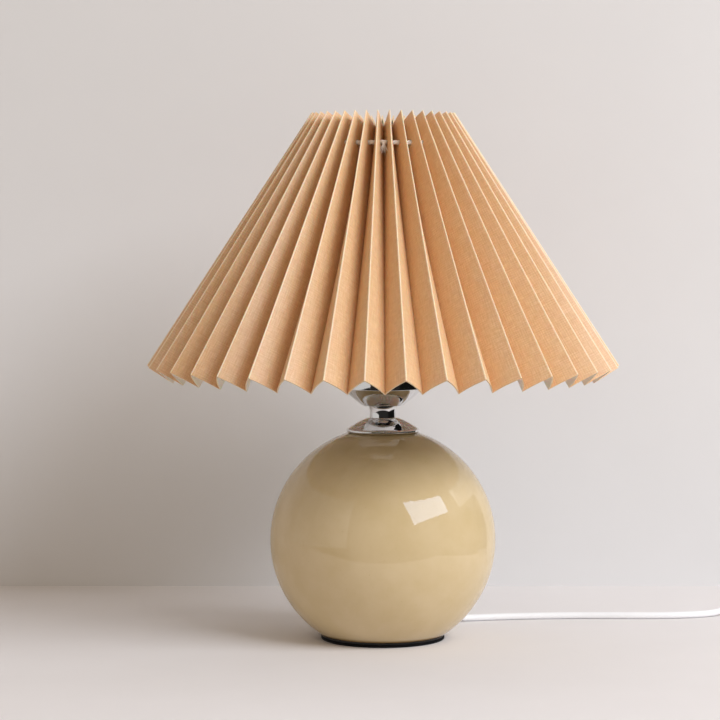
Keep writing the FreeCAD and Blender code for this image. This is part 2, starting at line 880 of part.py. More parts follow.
def valley_of(ridge_radius, ridge_level):
    """Radius and level of the inner fold, one panel's width from a ridge, square to the fold."""
    side = math.tan(half_pitch) ** 2
    a = 1 + side * math.cos(slope) ** 2
    b = -2 * side * ridge_radius * math.cos(slope)
    c = side * ridge_radius**2 - z.panel_width.number**2
    depth = (-b + math.sqrt(b * b - 4 * a * c)) / (2 * a)
    radius = (ridge_radius - depth * math.cos(slope)) / math.cos(half_pitch)
    return radius, ridge_level - depth * math.sin(slope)


ridge_ends = [
    (z.ridge_top_radius.number, shade_bottom + strip_drop),
    (z.ridge_top_radius.number + strip_spread, shade_bottom),
]
valley_ends = [valley_of(*end) for end in ridge_ends]
valley_slope = math.atan2(valley_ends[1][0] - valley_ends[0][0], valley_ends[0][1] - valley_ends[1][1])


def fold_corners(fold, other, azimuth, toward, tilt):
    """The corners of a fold with the panel on one side of it: the blunt tip's and the sharp one behind it.

    toward is 1 where the panel lies on the side of growing azimuth, and tilt the slope that the fold follows.
    """
    out = radial(math.cos(tilt), math.sin(tilt), azimuth)
    side = radial(1, 0, azimuth + toward * math.pi / 2)
    here = radial(fold[0], fold[1], azimuth)
    there = radial(other[0], other[1], azimuth + toward * half_pitch)
    along = there - here
    half_angle = math.atan2(along.dot(side), abs(along.dot(out)))
    away = -1 if along.dot(out) > 0 else 1
    blunt = here + (side * math.cos(half_angle) + out * away * math.sin(half_angle)) * half_paper
    sharp = here - out * away * half_paper / math.sin(half_angle)
    middle = here + out * away * half_paper * math.sin(half_angle)
    return blunt, sharp, middle


def pleat_section(end):
    """The corners of one pleat at one end, ridge at azimuth zero and a valley half a pitch to each side."""
    ridge, valley = ridge_ends[end], valley_ends[end]
    corners = {}
    for word, toward in (("left", -1), ("right", 1)):
        tip, hollow, _ = fold_corners(ridge, valley, 0, toward, slope)
        foot, crease, foot_middle = fold_corners(valley, ridge, toward * half_pitch, -toward, valley_slope)
        corners["tip " + word] = tip
        corners["hollow"] = hollow
        corners["foot " + word] = foot
        corners["crease " + word] = crease
        corners["middle " + word] = foot_middle
    return corners


upper, lower = pleat_section(0), pleat_section(1)


def line(begin, end):
    return Part.LineSegment(begin, end).toShape()


def strip_face(one, two):
    """The straight surface between two folds' corners, from the top end to the bottom end."""
    return Part.makeRuledSurface(line(upper[one], upper[two]), line(lower[one], lower[two]))


def end_faces(corners):
    """The cut ends of a pleat: a small facet at each fold and a strip along each panel."""
    facet = [corners[name] for name in ("tip left", "tip right", "hollow", "tip left")]
    faces = [Part.Face(Part.makePolygon(facet))]
    for word in ("left", "right"):
        tip, hollow, foot = corners["tip " + word], corners["hollow"], corners["foot " + word]
        crease, middle = corners["crease " + word], corners["middle " + word]
        faces.append(Part.makeRuledSurface(line(tip, crease), line(hollow, foot)))
        faces.append(Part.Face(Part.makePolygon([crease, middle, foot, crease])))
    return faces


round_pleat = [
    "crease left", "tip left", "tip right", "crease right", "middle right", "foot right", "hollow", "foot left",
    "middle left",
]
pleat_faces = [strip_face(one, two) for one, two in zip(round_pleat, round_pleat[1:] + round_pleat[:1])]
pleat_faces += end_faces(upper) + end_faces(lower)
pleat = Part.makeShell(pleat_faces)
pleat.sewShape()
pleat = Part.Solid(pleat)
if pleat.Volume < 0:
    pleat.reverse()


def along_fold(ends, level):
    """Radius of a straight fold at a level."""
    (top_radius, top_level), (bottom_radius, bottom_level) = ends
    return top_radius + (bottom_radius - top_radius) * (top_level - level) / (top_level - bottom_level)


def cord_crossing(toward):
    """Where the gather cord's circle meets the panel on one side of a ridge."""
    level = gather_level
    ridge = radial(along_fold(ridge_ends, level), level, 0)
    valley = radial(along_fold(valley_ends, level), level, toward * half_pitch)
    across = valley - ridge
    flat_ridge = Vector(ridge.x, ridge.y, 0)
    a = across.dot(across)
    b = 2 * flat_ridge.dot(across)
    c = flat_ridge.dot(flat_ridge) - z.gather_radius.number**2
    return ridge + across * ((-b - math.sqrt(b * b - 4 * a * c)) / (2 * a))


def punch(toward):
    """An eight-sided way through a panel along the gather cord's circle."""
    sides = 8
    middle = cord_crossing(toward)
    out = Vector(middle.x, middle.y, 0).normalize()
    way = UP.cross(out)
    reach = z.gather_hole_radius.number / math.cos(math.pi / sides)
    depth = z.gather_hole_radius.number * 2
    rim = []
    for corner in range(sides + 1):
        angle = (corner + 1 / 2) * 2 * math.pi / sides
        rim.append(middle - way * depth / 2 + (out * math.cos(angle) + UP * math.sin(angle)) * reach)
    return Part.Face(Part.makePolygon(rim)).extrude(way * depth)


punched = pleat.cut([punch(-1), punch(1)])


def lies_beside(face):
    """Whether a face lies in the plane between one pleat and the next, where the strip goes on."""
    for sign in (-1, 1):
        across = Vector(-math.sin(sign * half_pitch), math.cos(sign * half_pitch), 0)
        if all(abs(vertex.Point.dot(across)) < half_paper / 1000 for vertex in face.Vertexes):
            return True
    return False


open_faces = [face for face in punched.Faces if not lies_beside(face)]
first_ridge = math.pi / 2
shade_faces = []
for number in range(pleats):
    turn = math.degrees(first_ridge + 2 * half_pitch * number)
    for face in open_faces:
        shade_faces.append(face.rotated(Vector(0, 0, 0), UP, turn))
shade_shell = Part.makeShell(shade_faces)
shade_shell.sewShape()
shade_solid = Part.Solid(shade_shell)
if shade_solid.Volume < 0:
    shade_solid.reverse()
print("pleated_shade: %d faces, %.0f cubic millimetres" % (len(shade_solid.Faces), shade_solid.Volume))
keep(make_solid("shade_folded", shade_solid), "pleated_shade")

# Gather cord: a ring through every panel, closed by a knot at the front whose two ends hang down
knot_azimuth = -math.pi / 2
knot_radius = (z.gather_radius + z.knot_reach).number
gather_ring = Part.makeTorus(z.gather_radius.number, z.gather_cord_radius.number, Vector(0, 0, gather_level))
knot_place = radial(knot_radius, gather_level, knot_azimuth)
knot_wide = z.knot_radius.number
knot_narrow = z.knot_end_radius.number
knot_half = z.knot_length.number / 2
knot_way = radial(1, 0, knot_azimuth + math.pi / 2)
knot = [
    Part.makeCone(knot_wide, knot_narrow, knot_half, knot_place, knot_way),
    Part.makeCone(knot_wide, knot_narrow, knot_half, knot_place, -knot_way),
]
tails = []
for side in (-1, 1):
    lean = radial(math.sin(slope), -math.cos(slope), knot_azimuth + side * math.pi / 8)
    tails.append(Part.makeCylinder(z.gather_cord_radius.number / 2, z.knot_tail.number, knot_place, lean))
keep(make_solid("gather_cord_tied", gather_ring.fuse(knot + tails)), "gather_cord")

# Shade frame: a pressed fitter, four arms, a lower ring, four legs and a top ring, of round wire
fitter_bore = z.shell_thread_radius + z.turning_gap
keep(
    revolve(
        "fitter_pressed",
        [
            (fitter_bore, fitter_bottom),
            (z.fitter_radius, fitter_bottom),
            (z.fitter_radius, fitter_top),
            (fitter_bore, fitter_top),
        ],
    ),
    "shade_fitter",
)

wire = z.wire_frame_radius.number
paper_reach = half_paper + wire + z.turning_gap.number
fitter_middle = (fitter_bottom.number + fitter_top.number) / 2


def ring_radius_at(level):
    """Radius of a wire ring at a level, just inside the shade's inner folds."""
    top_radius, top_level = valley_ends[0]
    fold = top_radius + (top_level - level) * math.tan(valley_slope)
    return fold - paper_reach / math.cos(valley_slope)


lower_radius = ring_radius_at(fitter_middle)
top_level = gather_level - z.top_ring_drop.number
top_radius = ring_radius_at(top_level)


def wire_ring(label, radius, level):
    ring = doc.addObject("Part::Torus", label)
    ring.Radius1 = radius
    ring.setExpression("Radius2", z.wire_frame_radius.formula)
    ring.Placement.Base = Vector(0, 0, level)
    return ring


lower_frame = wire_ring("lower_frame_bent", lower_radius, fitter_middle)
top_frame = wire_ring("top_frame_bent", top_radius, top_level)
keep(lower_frame, "lower_frame_ring")
keep(top_frame, "top_frame_ring")
rings = [
    Part.makeTorus(lower_radius, wire, Vector(0, 0, fitter_middle)),
    Part.makeTorus(top_radius, wire, Vector(0, 0, top_level)),
]
fitter_disc = Part.makeCylinder(z.fitter_radius.number, wire * 4, Vector(0, 0, fitter_middle - wire * 2))
arms = []
legs = []
leg_count = int(z.frame_legs.number)
for number in range(leg_count):
    azimuth = math.pi / leg_count + number * 2 * math.pi / leg_count
    inside = radial(z.fitter_radius.number - wire, fitter_middle, azimuth)
    foot = radial(lower_radius, fitter_middle, azimuth)
    head = radial(top_radius, top_level, azimuth)
    arm = Part.makeCylinder(wire, (foot - inside).Length, inside, foot - inside)
    arms.append(arm.cut([fitter_disc, rings[0]]))
    rise = Part.makeCylinder(wire, (head - foot).Length, foot, head - foot)
    legs.append(rise.cut(rings + [arm]))
keep(make_solid("arms_cut", Part.makeCompound([solid for arm in arms for solid in arm.Solids])), "spider_arms")
keep(make_solid("legs_cut", Part.makeCompound([solid for rise in legs for solid in rise.Solids])), "frame_legs")

# Bulb: a small round one, narrow enough to go out through the top of the shade
tip_top = bulb_bottom + z.bulb_tip_height
insulator_top = tip_top + z.bulb_insulator_height
bulb_cap_top = insulator_top + z.bulb_cap_height
bulb_top = bulb_bottom + z.bulb_height
bulb_centre = bulb_top - z.bulb_radius
seam_level = bulb_centre - z.bulb_dome_drop
seam_radius = leg(z.bulb_radius, z.bulb_dome_drop)
inner_bulb = z.bulb_radius - z.bulb_wall
keep(
    revolve(
        "bulb_contact_turned",
        [(0, bulb_bottom), (z.bulb_tip_radius / 2, bulb_bottom), (z.bulb_tip_radius, tip_top), (0, tip_top)],
    ),
    "bulb_contact",
)
keep(
    revolve(
        "bulb_insulator_turned",
        [
            (0, tip_top),
            (z.bulb_insulator_radius, tip_top),
            (z.bulb_cap_radius - z.sleeve_wall * 2, insulator_top),
            (0, insulator_top),
        ],
    ),
    "bulb_insulator",
)
cap_inside = z.bulb_cap_radius - z.sleeve_wall
keep(
    revolve(
        "bulb_cap_turned",
        [
            (cap_inside - z.sleeve_wall, insulator_top),
            (z.bulb_cap_radius, insulator_top + z.sleeve_wall),
            (z.bulb_cap_radius, bulb_cap_top),
            (cap_inside, bulb_cap_top),
            (cap_inside, insulator_top + z.sleeve_wall * 2),
        ],
    ),
    "bulb_cap",
)
keep(
    revolve(
        "bulb_housing_turned",
        [
            (0, insulator_top),
            (cap_inside - z.sleeve_wall * 2, insulator_top),
            (cap_inside - z.fit_gap / 2, insulator_top + z.sleeve_wall * 3),
            (cap_inside - z.fit_gap / 2, bulb_cap_top),
            (z.bulb_collar_radius, bulb_cap_top),
            (z.bulb_collar_radius + z.bulb_wall, bulb_cap_top + z.bulb_wall * 2),
            (seam_radius, seam_level),
            (0, seam_level),
        ],
    ),
    "bulb_housing",
)
keep(
    revolve(
        "bulb_globe_blown",
        [
            (seam_radius - z.bulb_wall, seam_level),
            (seam_radius, seam_level),
            arc(z.bulb_radius, 1),
            (z.bulb_gate_radius, bulb_centre + leg(z.bulb_radius, z.bulb_gate_radius)),
            (0, bulb_centre + leg(z.bulb_radius, z.bulb_gate_radius)),
            (0, bulb_centre + leg(inner_bulb, z.bulb_gate_radius)),
            (z.bulb_gate_radius, bulb_centre + leg(inner_bulb, z.bulb_gate_radius)),
            arc(inner_bulb, -1),
        ],
    ),
    "bulb_globe",
)

# Switch on the cord: a moulded base and cover, a rocker on a steel pin, two screws and two sleeves
switch_end = z.switch_length / 2
bow = z.switch_waist_half - z.switch_end_half
bow_radius = (switch_end * switch_end + bow * bow) / (bow * 2)


def switch_outline(inset):
    end = switch_end - inset
    side = z.switch_end_half - inset
    radius = bow_radius
    return [(-end, -side), arc(radius, 1), (end, -side), (end, side), arc(radius, 1), (-end, side)]


def block(label, length, width, height, x, y, bottom):
    """A rectangular block centred on x, y."""
    box = doc.addObject("Part::Box", label)
    box.setExpression("Length", length.formula)
    box.setExpression("Width", width.formula)
    box.setExpression("Height", height.formula)
    place(box, x - length / 2, y - width / 2, bottom)
    return box


def upright(edge):
    """Whether an edge runs straight up."""
    return len(edge.Vertexes) == 2 and abs(edge.tangentAt(edge.FirstParameter).z) > math.cos(half_pitch)


switch_split = z.switch_base_height
switch_top = switch_split + z.switch_cover_height
pin_level = switch_top - z.rocker_pin_drop


def switch_shell(label, height, bottom, hollow_bottom):
    outside = extrude(label + "_outside", switch_outline(as_size(0)), height)
    round_edges(outside, upright, z.switch_corner)
    inside = extrude(label + "_inside", switch_outline(z.switch_wall), height - z.switch_wall)
    place(outside, z.switch_x, z.switch_y, bottom)
    place(inside, z.switch_x, z.switch_y, hollow_bottom)
    return outside, inside


entry_bar = cylinder("switch_entry", z.relief_root_radius + z.fit_gap / 2, z.switch_length + z.overrun * 2)
entry_bar.Placement = Placement(Vector(0, 0, 0), Rotation(Vector(0, 1, 0), 90))
place(entry_bar, z.switch_x - switch_end - z.overrun, z.switch_y, switch_split)
screw_spots = [("left", z.switch_x - z.switch_screw_offset), ("right", z.switch_x + z.switch_screw_offset)]
screw_top = switch_top - z.switch_wall - z.switch_wall
head_top = z.switch_screw_head_height

base_outside, base_inside = switch_shell("switch_base", z.switch_base_height, 0, z.switch_wall)
cover_outside, cover_inside = switch_shell("switch_cover", z.switch_cover_height, switch_split, switch_split)
way_radius = z.switch_screw_radius + z.fit_gap / 2
boss_bottom = z.switch_wall + z.fit_gap
ways = []
sinks = []
bosses = []
for word, x in screw_spots:
    ways.append(cylinder("screw_way_" + word, way_radius, screw_top + z.overrun, x, z.switch_y, -z.overrun))
    sink_radius = z.switch_screw_head_radius + z.fit_gap
    sinks.append(cylinder("screw_sink_" + word, sink_radius, head_top + z.overrun, x, z.switch_y, -z.overrun))
    boss_height = switch_top - z.switch_wall - boss_bottom
    bosses.append(cylinder("cover_boss_" + word, z.switch_boss_radius, boss_height, x, z.switch_y, boss_bottom))
cuts = join("base_cuts", *sinks, *ways)
base_cut = cut("switch_base_cut", base_outside, base_inside, entry_bar, cuts)
keep(base_cut, "switch_base")

cheeks = []
for word, sign in (("front", -1), ("back", 1)):
    cheek_y = z.switch_y + (z.rocker_width / 2 + z.turning_gap + z.cheek_thick / 2) * sign
    cheek_bottom = pin_level - z.rocker_pin_radius * 2
    cheek_height = switch_top - z.switch_wall - cheek_bottom
    cheeks.append(
        block("cheek_" + word, z.cheek_length, z.cheek_thick, cheek_height, z.switch_x, cheek_y, cheek_bottom)
    )
window_length = z.rocker_length + z.rocker_end_gap * 2
window_width = z.rocker_width + z.turning_gap * 2
window = block(
    "rocker_window", window_length, window_width, z.switch_wall + z.overrun * 2, z.switch_x, z.switch_y,
    switch_top - z.switch_wall - z.overrun,
)
pin_reach = z.rocker_width + (z.turning_gap + z.cheek_thick) * 2


def pin_bar(label, radius, length):
    """A bar along Y through the rocker's axis."""
    bar = cylinder(label, radius, length)
    bar.Placement = Placement(Vector(0, 0, 0), Rotation(Vector(1, 0, 0), -90))
    return place(bar, z.switch_x, z.switch_y - length / 2, pin_level)


cover_hollow = cut("switch_cover_hollow", cover_outside, cover_inside, entry_bar)
cover_full = join("switch_cover_full", cover_hollow, *bosses, *cheeks)
cover_ways = join("cover_ways", *[
    cylinder("cover_way_" + word, z.switch_screw_radius, screw_top - boss_bottom + z.overrun, x, z.switch_y,
             boss_bottom - z.overrun)
    for word, x in screw_spots
])
pin_seat = pin_bar("pin_seat", z.rocker_pin_radius, pin_reach)
cover_cut = cut("switch_cover_cut", cover_full, window, cover_ways, pin_seat)
keep(cover_cut, "switch_cover")
keep(pin_bar("pin_drawn", z.rocker_pin_radius, pin_reach - z.fit_gap), "rocker_pin")
contact_size = (z.switch_contact_length, z.switch_contact_width, z.switch_contact_height)
keep(block("contacts_moulded", *contact_size, z.switch_x, z.switch_y, z.switch_wall), "switch_contacts")

switch_screws = []
for word, x in screw_spots:
    head_radius = z.switch_screw_head_radius
    switch_screws.append(cylinder("switch_head_" + word, head_radius, head_top, x, z.switch_y, 0))
    shank = z.switch_screw_radius
    switch_screws.append(cylinder("switch_shank_" + word, shank, screw_top - head_top, x, z.switch_y, head_top))
keep(join("switch_screw_pair", *switch_screws), "switch_screws")

# The rocker lies on one end at rest, so its outline is drawn level round its pin and then tilted
rocker_end = z.rocker_length / 2
rocker_foot = z.rocker_foot / 2
rocker_level = extrude(
    "rocker_moulded",
    [
        (-rocker_foot, -z.rocker_depth),
        (rocker_foot, -z.rocker_depth),
        (rocker_end, z.rocker_end_height - z.rocker_end_depth),
        (rocker_end, z.rocker_end_height),
        (0, z.rocker_waist_height),
        (-rocker_end, z.rocker_end_height),
        (-rocker_end, z.rocker_end_height - z.rocker_end_depth),
    ],
    z.rocker_width,
    role="XZ_Plane",
    symmetric=True,
)
rocker_tilted = Placement(Vector(0, 0, 0), Rotation(Vector(0, 1, 0), -z.rocker_tilt.number))
rocker_level.Placement = rocker_tilted
place(rocker_level, z.switch_x, z.switch_y, pin_level)
rocker_bore = pin_bar("rocker_bore", z.rocker_pin_radius + z.fit_gap, z.rocker_width + z.overrun * 2)
keep(cut("rocker_bored", rocker_level, rocker_bore), "switch_rocker")

# Sleeves that stop the cord from bending sharply where it leaves the switch
collar_seat = z.switch_wall + z.fit_gap
sleeve_outline = [
    (0, -collar_seat - z.relief_collar_length),
    (z.relief_collar_radius, -collar_seat - z.relief_collar_length),
    (z.relief_collar_radius, -collar_seat),
    (z.relief_root_radius, -collar_seat),
    (z.relief_root_radius, 0),
    (z.relief_tip_radius, z.relief_length),
    (0, z.relief_length),
]
for word, sign in (("in", -1), ("out", 1)):
    sleeve = revolve("switch_sleeve_%s_moulded" % word, sleeve_outline)
    sleeve.Placement = Placement(Vector(0, 0, 0), Rotation(Vector(0, 1, 0), sign * 90))
    place(sleeve, z.switch_x + switch_end * sign, z.switch_y, switch_split)
    keep(sleeve, "switch_sleeve_" + word)

# Plug: a flat moulded two-pin one that lies on its side, pins to the left
coil_y = z.switch_y + z.coil_outer_radius
plug_y = coil_y + z.coil_outer_radius
plug_level = z.plug_thick / 2
plug_half = z.plug_width / 2
tail_half = z.plug_tail_width / 2
plug_blank = extrude(
    "plug_moulded",
    [
        (0, -plug_half),
        (z.plug_face_length, -plug_half),
        arc(z.plug_hollow_radius, -1),
        (z.plug_length, -tail_half),
        (z.plug_length, tail_half),
        arc(z.plug_hollow_radius, -1),
        (z.plug_face_length, plug_half),
        (0, plug_half),
    ],
    z.plug_thick,
)


def behind_face(edge):
    """Whether an edge lies clear of the plug's flat pin face."""
    return edge.BoundBox.XMax > z.plug_corner.number / 10


round_edges(plug_blank, lambda edge: upright(edge) and behind_face(edge), z.plug_side_corner)
round_edges(plug_blank, lambda edge: behind_face(edge) and not upright(edge), z.plug_corner)
place(plug_blank, z.plug_x, plug_y, 0)
plug_sleeve = doc.addObject("Part::Cone", "plug_sleeve")
plug_sleeve.setExpression("Radius1", z.plug_sleeve_radius.formula)
plug_sleeve.setExpression("Radius2", z.relief_tip_radius.formula)
plug_sleeve.setExpression("Height", (z.relief_length + z.plug_corner).formula)
plug_sleeve.Placement = Placement(Vector(0, 0, 0), Rotation(Vector(0, 1, 0), 90))
place(plug_sleeve, z.plug_x + z.plug_length - z.plug_corner, plug_y, plug_level)
plug_full = join("plug_full", plug_blank, plug_sleeve)


def pin_pair(label):
    """Two round pins pointing left, each with a slimmer root in the plug."""
    pins = []
    for word, sign in (("front", -1), ("back", 1)):
        pin_y = plug_y + z.pin_spacing / 2 * sign
        shank = cylinder("%s_%s_shank" % (label, word), z.pin_radius, z.pin_length - z.pin_neck)
        stem = cylinder("%s_%s_root" % (label, word), z.pin_root_radius, z.pin_length + z.pin_root)
        for pin in (shank, stem):
            pin.Placement = Placement(Vector(0, 0, 0), Rotation(Vector(0, 1, 0), 90))
            pins.append(place(pin, z.plug_x - z.pin_length, pin_y, plug_level))
    return join(label, *pins)


keep(cut("plug_drilled", plug_full, pin_pair("pin_holes")), "plug_body")
keep(pin_pair("pins_turned"), "plug_pins")

# Cord from the ball to the switch: down from the grommet's nose and along the table behind the ball
rest = z.cord_rest_height.number
entry = switch_split.number
LEAD_ROUTE = [
    (62.5, 66.8, rest),
    (80.0, 71.0, rest),
    (106.0, 74.6, rest),
    (142.0, 77.4, rest),
    (182.0, 75.4, rest),
    (214.0, 78.4, rest),
    (236.0, 87.6, rest),
]
nose_run = 12.5
entry_run = 14.0
switch_left = (z.switch_x - switch_end - z.relief_length).number
switch_y = z.switch_y.number
lead_points = [nose_end, nose_end + hole_way * nose_run]
lead_points += [Vector(*point) for point in LEAD_ROUTE]
lead_points += [Vector(switch_left - entry_run, switch_y, entry), Vector(switch_left, switch_y, entry)]
lead_shape, bends, lead_length = tube_along(lead_points, cord_radius)
report_tube("cord_lead", lead_shape, cord_radius, lead_length, bends)
keep(make_solid("cord_lead_laid", lead_shape), "cord_lead")


# Coil of spare cord: loops that spiral in and out again, layer on layer
coil_centre = Vector(z.coil_x.number, coil_y.number, rest)
layers = int(z.coil_layers.number)
pitch = z.coil_pitch.number
turns_per_layer = z.coil_turns.number / layers
steps_per_layer = 8
step = turns_per_layer / steps_per_layer
outer_radius = z.coil_outer_radius.number


def coil_point(turns):
    """A point of the coil after so many turns, by its radius, its angle and its height.

    The radius shrinks and grows again by one pitch a turn, layer by layer. The height is steady along a layer
    and climbs one pitch, slowly at first and at last, from one step before each reversal to one step after it.
    """
    layer = min(int(turns / turns_per_layer + step / 1000), layers - 1)
    along = turns - layer * turns_per_layer
    inward = along if layer % 2 == 0 else turns_per_layer - along
    radius = outer_radius - pitch * inward
    climbs = [(turns - reversal * turns_per_layer) / (2 * step) + 1 / 2 for reversal in range(1, layers)]
    climbs = [min(max(share, 0), 1) for share in climbs]
    height = pitch * sum(share * share * (3 - 2 * share) for share in climbs)
    angle = 2 * math.pi * turns - math.pi / 2
    return coil_centre + Vector(radius * math.cos(angle), radius * math.sin(angle), height)


def coil_way(turns):
    """The direction of the coil's cord after so many turns, level at its two ends."""
    small = step / 1000
    before = max(turns - small, 0)
    after = min(turns + small, z.coil_turns.number)
    way = coil_point(after) - coil_point(before)
    angle = 2 * math.pi * turns - math.pi / 2
    if turns <= 0 or turns >= z.coil_turns.number:
        return Vector(-math.sin(angle), math.cos(angle), 0)
    return way.normalize()


def arc_from(begin, way, end):
    """The arc from begin to end that sets out along way."""
    chord = end - begin
    across = chord - way * chord.dot(way)
    if across.Length < cord_radius / 1000:
        return Part.LineSegment(begin, end).toShape()
    across.normalize()
    bend = chord.dot(chord) / (2 * chord.dot(across))
    centre = begin + across * bend
    middle = (begin + end) / 2 - centre
    return Part.Arc(begin, centre + middle.normalize() * bend, end).toShape()


def biarc(begin, way, end, end_way):
    """Two arcs of like tangent length that join two points and leave each along its direction."""
    chord = end - begin
    both = way + end_way
    a = 2 * (1 - way.dot(end_way))
    b = 2 * chord.dot(both)
    c = -chord.dot(chord)
    reach = (-b + math.sqrt(b * b - 4 * a * c)) / (2 * a) if a > pitch / 1e9 else -c / b
    joint = (begin + way * reach + end - end_way * reach) / 2
    return [arc_from(begin, way, joint), arc_from(end, -end_way, joint)]


count = layers * steps_per_layer
stations = [step * number for number in range(count + 1)]
coil_edges = []
first_way, last_way = coil_way(0), coil_way(stations[-1])
coil_start, coil_stop = coil_point(0), coil_point(stations[-1])
coil_begin = coil_start - first_way * 2 * cord_radius
coil_end = coil_stop + last_way * 2 * cord_radius
coil_edges.append(Part.LineSegment(coil_begin, coil_start).toShape())
for one, two in zip(stations, stations[1:]):
    coil_edges += biarc(coil_point(one), coil_way(one), coil_point(two), coil_way(two))
coil_edges.append(Part.LineSegment(coil_stop, coil_end).toShape())
coil_shape = pipe(Part.__sortEdges__(coil_edges), cord_radius)
coil_length = sum(edge.Length for edge in coil_edges)
report_tube("cord_coil", coil_shape, cord_radius, coil_length, [])
keep(make_solid("cord_coil_wound", coil_shape), "cord_coil")


def least_gap(turns, samples_per_turn=24):
    """The least gap of the coil to itself, between points more than half a turn apart."""
    points = [coil_point(number / samples_per_turn) for number in range(int(turns * samples_per_turn) + 1)]
    apart = samples_per_turn // 2
    least = min(
        (point - other).Length for number, point in enumerate(points) for other in points[number + apart:]
    )
    return least - 2 * cord_radius


print("cord_coil: least gap to itself %.2f mm" % least_gap(z.coil_turns.number))

# Cord from the switch to the coil, and from the coil to the plug
bend_run = 12.5
switch_right = (z.switch_x + switch_end + z.relief_length).number
link_points = [
    Vector(switch_right, switch_y, entry),
    Vector(switch_right + bend_run, switch_y, entry),
    coil_begin - Vector(bend_run, 0, 0),
    coil_begin,
]
link_shape, bends, link_length = tube_along(link_points, cord_radius)
report_tube("cord_link", link_shape, cord_radius, link_length, bends)
keep(make_solid("cord_link_laid", link_shape), "cord_link")

plug_tail = Vector((z.plug_x + z.plug_length + z.relief_length).number, plug_y.number, plug_level.number)
tail_points = [coil_end, coil_end - Vector(bend_run, 0, 0), plug_tail + Vector(bend_run, 0, 0), plug_tail]
tail_shape, bends, tail_length = tube_along(tail_points, cord_radius)
report_tube("cord_tail", tail_shape, cord_radius, tail_length, bends)
keep(make_solid("cord_tail_laid", tail_shape), "cord_tail")
switch_reach = (z.switch_length + z.relief_length * 2).number
whole_cord = lead_length + switch_reach + link_length + coil_length + tail_length
print("whole cord with the switch: %.0f mm" % whole_cord)

# Every piece has to be sound before any is written
doc.recompute()
faults = [thing.Label for thing in doc.Objects if {"Invalid", "Error"} & set(thing.State)]
faults += [piece.Label for piece in nodes if piece.Shape.isNull() or not piece.Shape.isValid()]
if faults:
    raise RuntimeError("unsound pieces: " + ", ".join(faults))
for piece in nodes:
    piece.Shape.exportStep("parts/%s.step" % piece.Label)
print("%d pieces written" % len(nodes))
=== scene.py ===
"""A ceramic table lamp: glazed ball, chrome stem and lampholder, pleated shade, white cord with a switch.

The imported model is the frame: metres, +Z up, the lamp's axis on Z and its front at -Y. Profiles are in
millimetres.
"""
import json
import math
import bpy
import bmesh
import numpy as np
from mathutils import Matrix, Vector


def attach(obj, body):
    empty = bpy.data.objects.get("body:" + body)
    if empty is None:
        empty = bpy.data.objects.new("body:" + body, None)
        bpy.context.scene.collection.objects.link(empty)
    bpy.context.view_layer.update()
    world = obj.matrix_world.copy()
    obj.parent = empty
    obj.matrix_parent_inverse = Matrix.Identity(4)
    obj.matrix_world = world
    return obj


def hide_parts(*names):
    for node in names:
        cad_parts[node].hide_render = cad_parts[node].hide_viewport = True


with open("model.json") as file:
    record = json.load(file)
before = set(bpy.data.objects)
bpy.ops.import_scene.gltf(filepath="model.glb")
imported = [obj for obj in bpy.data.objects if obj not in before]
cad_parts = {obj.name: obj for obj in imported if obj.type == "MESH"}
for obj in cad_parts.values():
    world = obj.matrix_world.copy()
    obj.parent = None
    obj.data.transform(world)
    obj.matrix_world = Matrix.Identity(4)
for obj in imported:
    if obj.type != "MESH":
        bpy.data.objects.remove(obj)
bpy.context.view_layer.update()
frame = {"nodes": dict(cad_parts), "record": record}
MM = 0.001
TAU = 2 * math.pi

# Camera: a long lens at the height of the shade's middle, tilted down, as the photograph was taken
PHOTO_PIXELS = 720
FOCAL_PIXELS = 2500
SENSOR_MM = 36.0
camera_data = bpy.data.cameras.new("camera")
camera_data.sensor_width = SENSOR_MM
camera_data.lens = FOCAL_PIXELS * SENSOR_MM / PHOTO_PIXELS
camera = bpy.data.objects.new("camera", camera_data)
TILT = math.radians(3.43)
camera.location = (-0.0152, -1.653, 0.2844)
camera.rotation_euler = (math.pi / 2 - TILT, 0, 0)
bpy.context.scene.collection.objects.link(camera)
bpy.context.scene.camera = camera


# Colours and nodes
def colour(code):
    """Linear RGBA of an sRGB hex value."""
    channels = [int(code[start:start + 2], 16) / 255 for start in (1, 3, 5)]
    return tuple(c / 12.92 if c <= 0.04045 else ((c + 0.055) / 1.055) ** 2.4 for c in channels) + (1.0,)


def per(size_mm):
    """The texture scale, per metre, at which a pattern repeats every size_mm."""
    return 1 / (size_mm * MM)


def add(tree, kind, inputs=None, **settings):
    """Adds a node, sets its properties, and fills its inputs with values or with other nodes' outputs."""
    node = tree.nodes.new("ShaderNode" + kind)
    for name, value in settings.items():
        setattr(node, name, value)
    for key, value in (inputs or {}).items():
        if isinstance(value, bpy.types.NodeSocket):
            tree.links.new(value, node.inputs[key])
        else:
            node.inputs[key].default_value = value
    return node


def new_finish(name, **constants):
    """A material with a Principled shader, its sockets set to constants: (material, node tree, shader)."""
    material = bpy.data.materials.new(name)
    material.use_nodes = True
    tree = material.node_tree
    tree.nodes.clear()
    shader = add(tree, "BsdfPrincipled", {key.replace("_", " "): value for key, value in constants.items()})
    output = add(tree, "OutputMaterial", {"Surface": shader.outputs[0]})
    output.is_active_output = True
    return material, tree, shader


def place_of(tree, stretch=(1, 1, 1)):
    """Object coordinates in metres, stretched along the axes."""
    coordinates = add(tree, "TexCoord").outputs["Object"]
    if stretch == (1, 1, 1):
        return coordinates
    return add(tree, "Mapping", {"Vector": coordinates, "Scale": stretch}).outputs[0]


def grain(tree, vector, size_mm, detail=3.0, roughness=0.5):
    """A noise from 0 to 1 whose blotches are about size_mm wide."""
    inputs = {"Vector": vector, "Scale": per(size_mm), "Detail": detail, "Roughness": roughness}
    return add(tree, "TexNoise", inputs).outputs["Fac"]


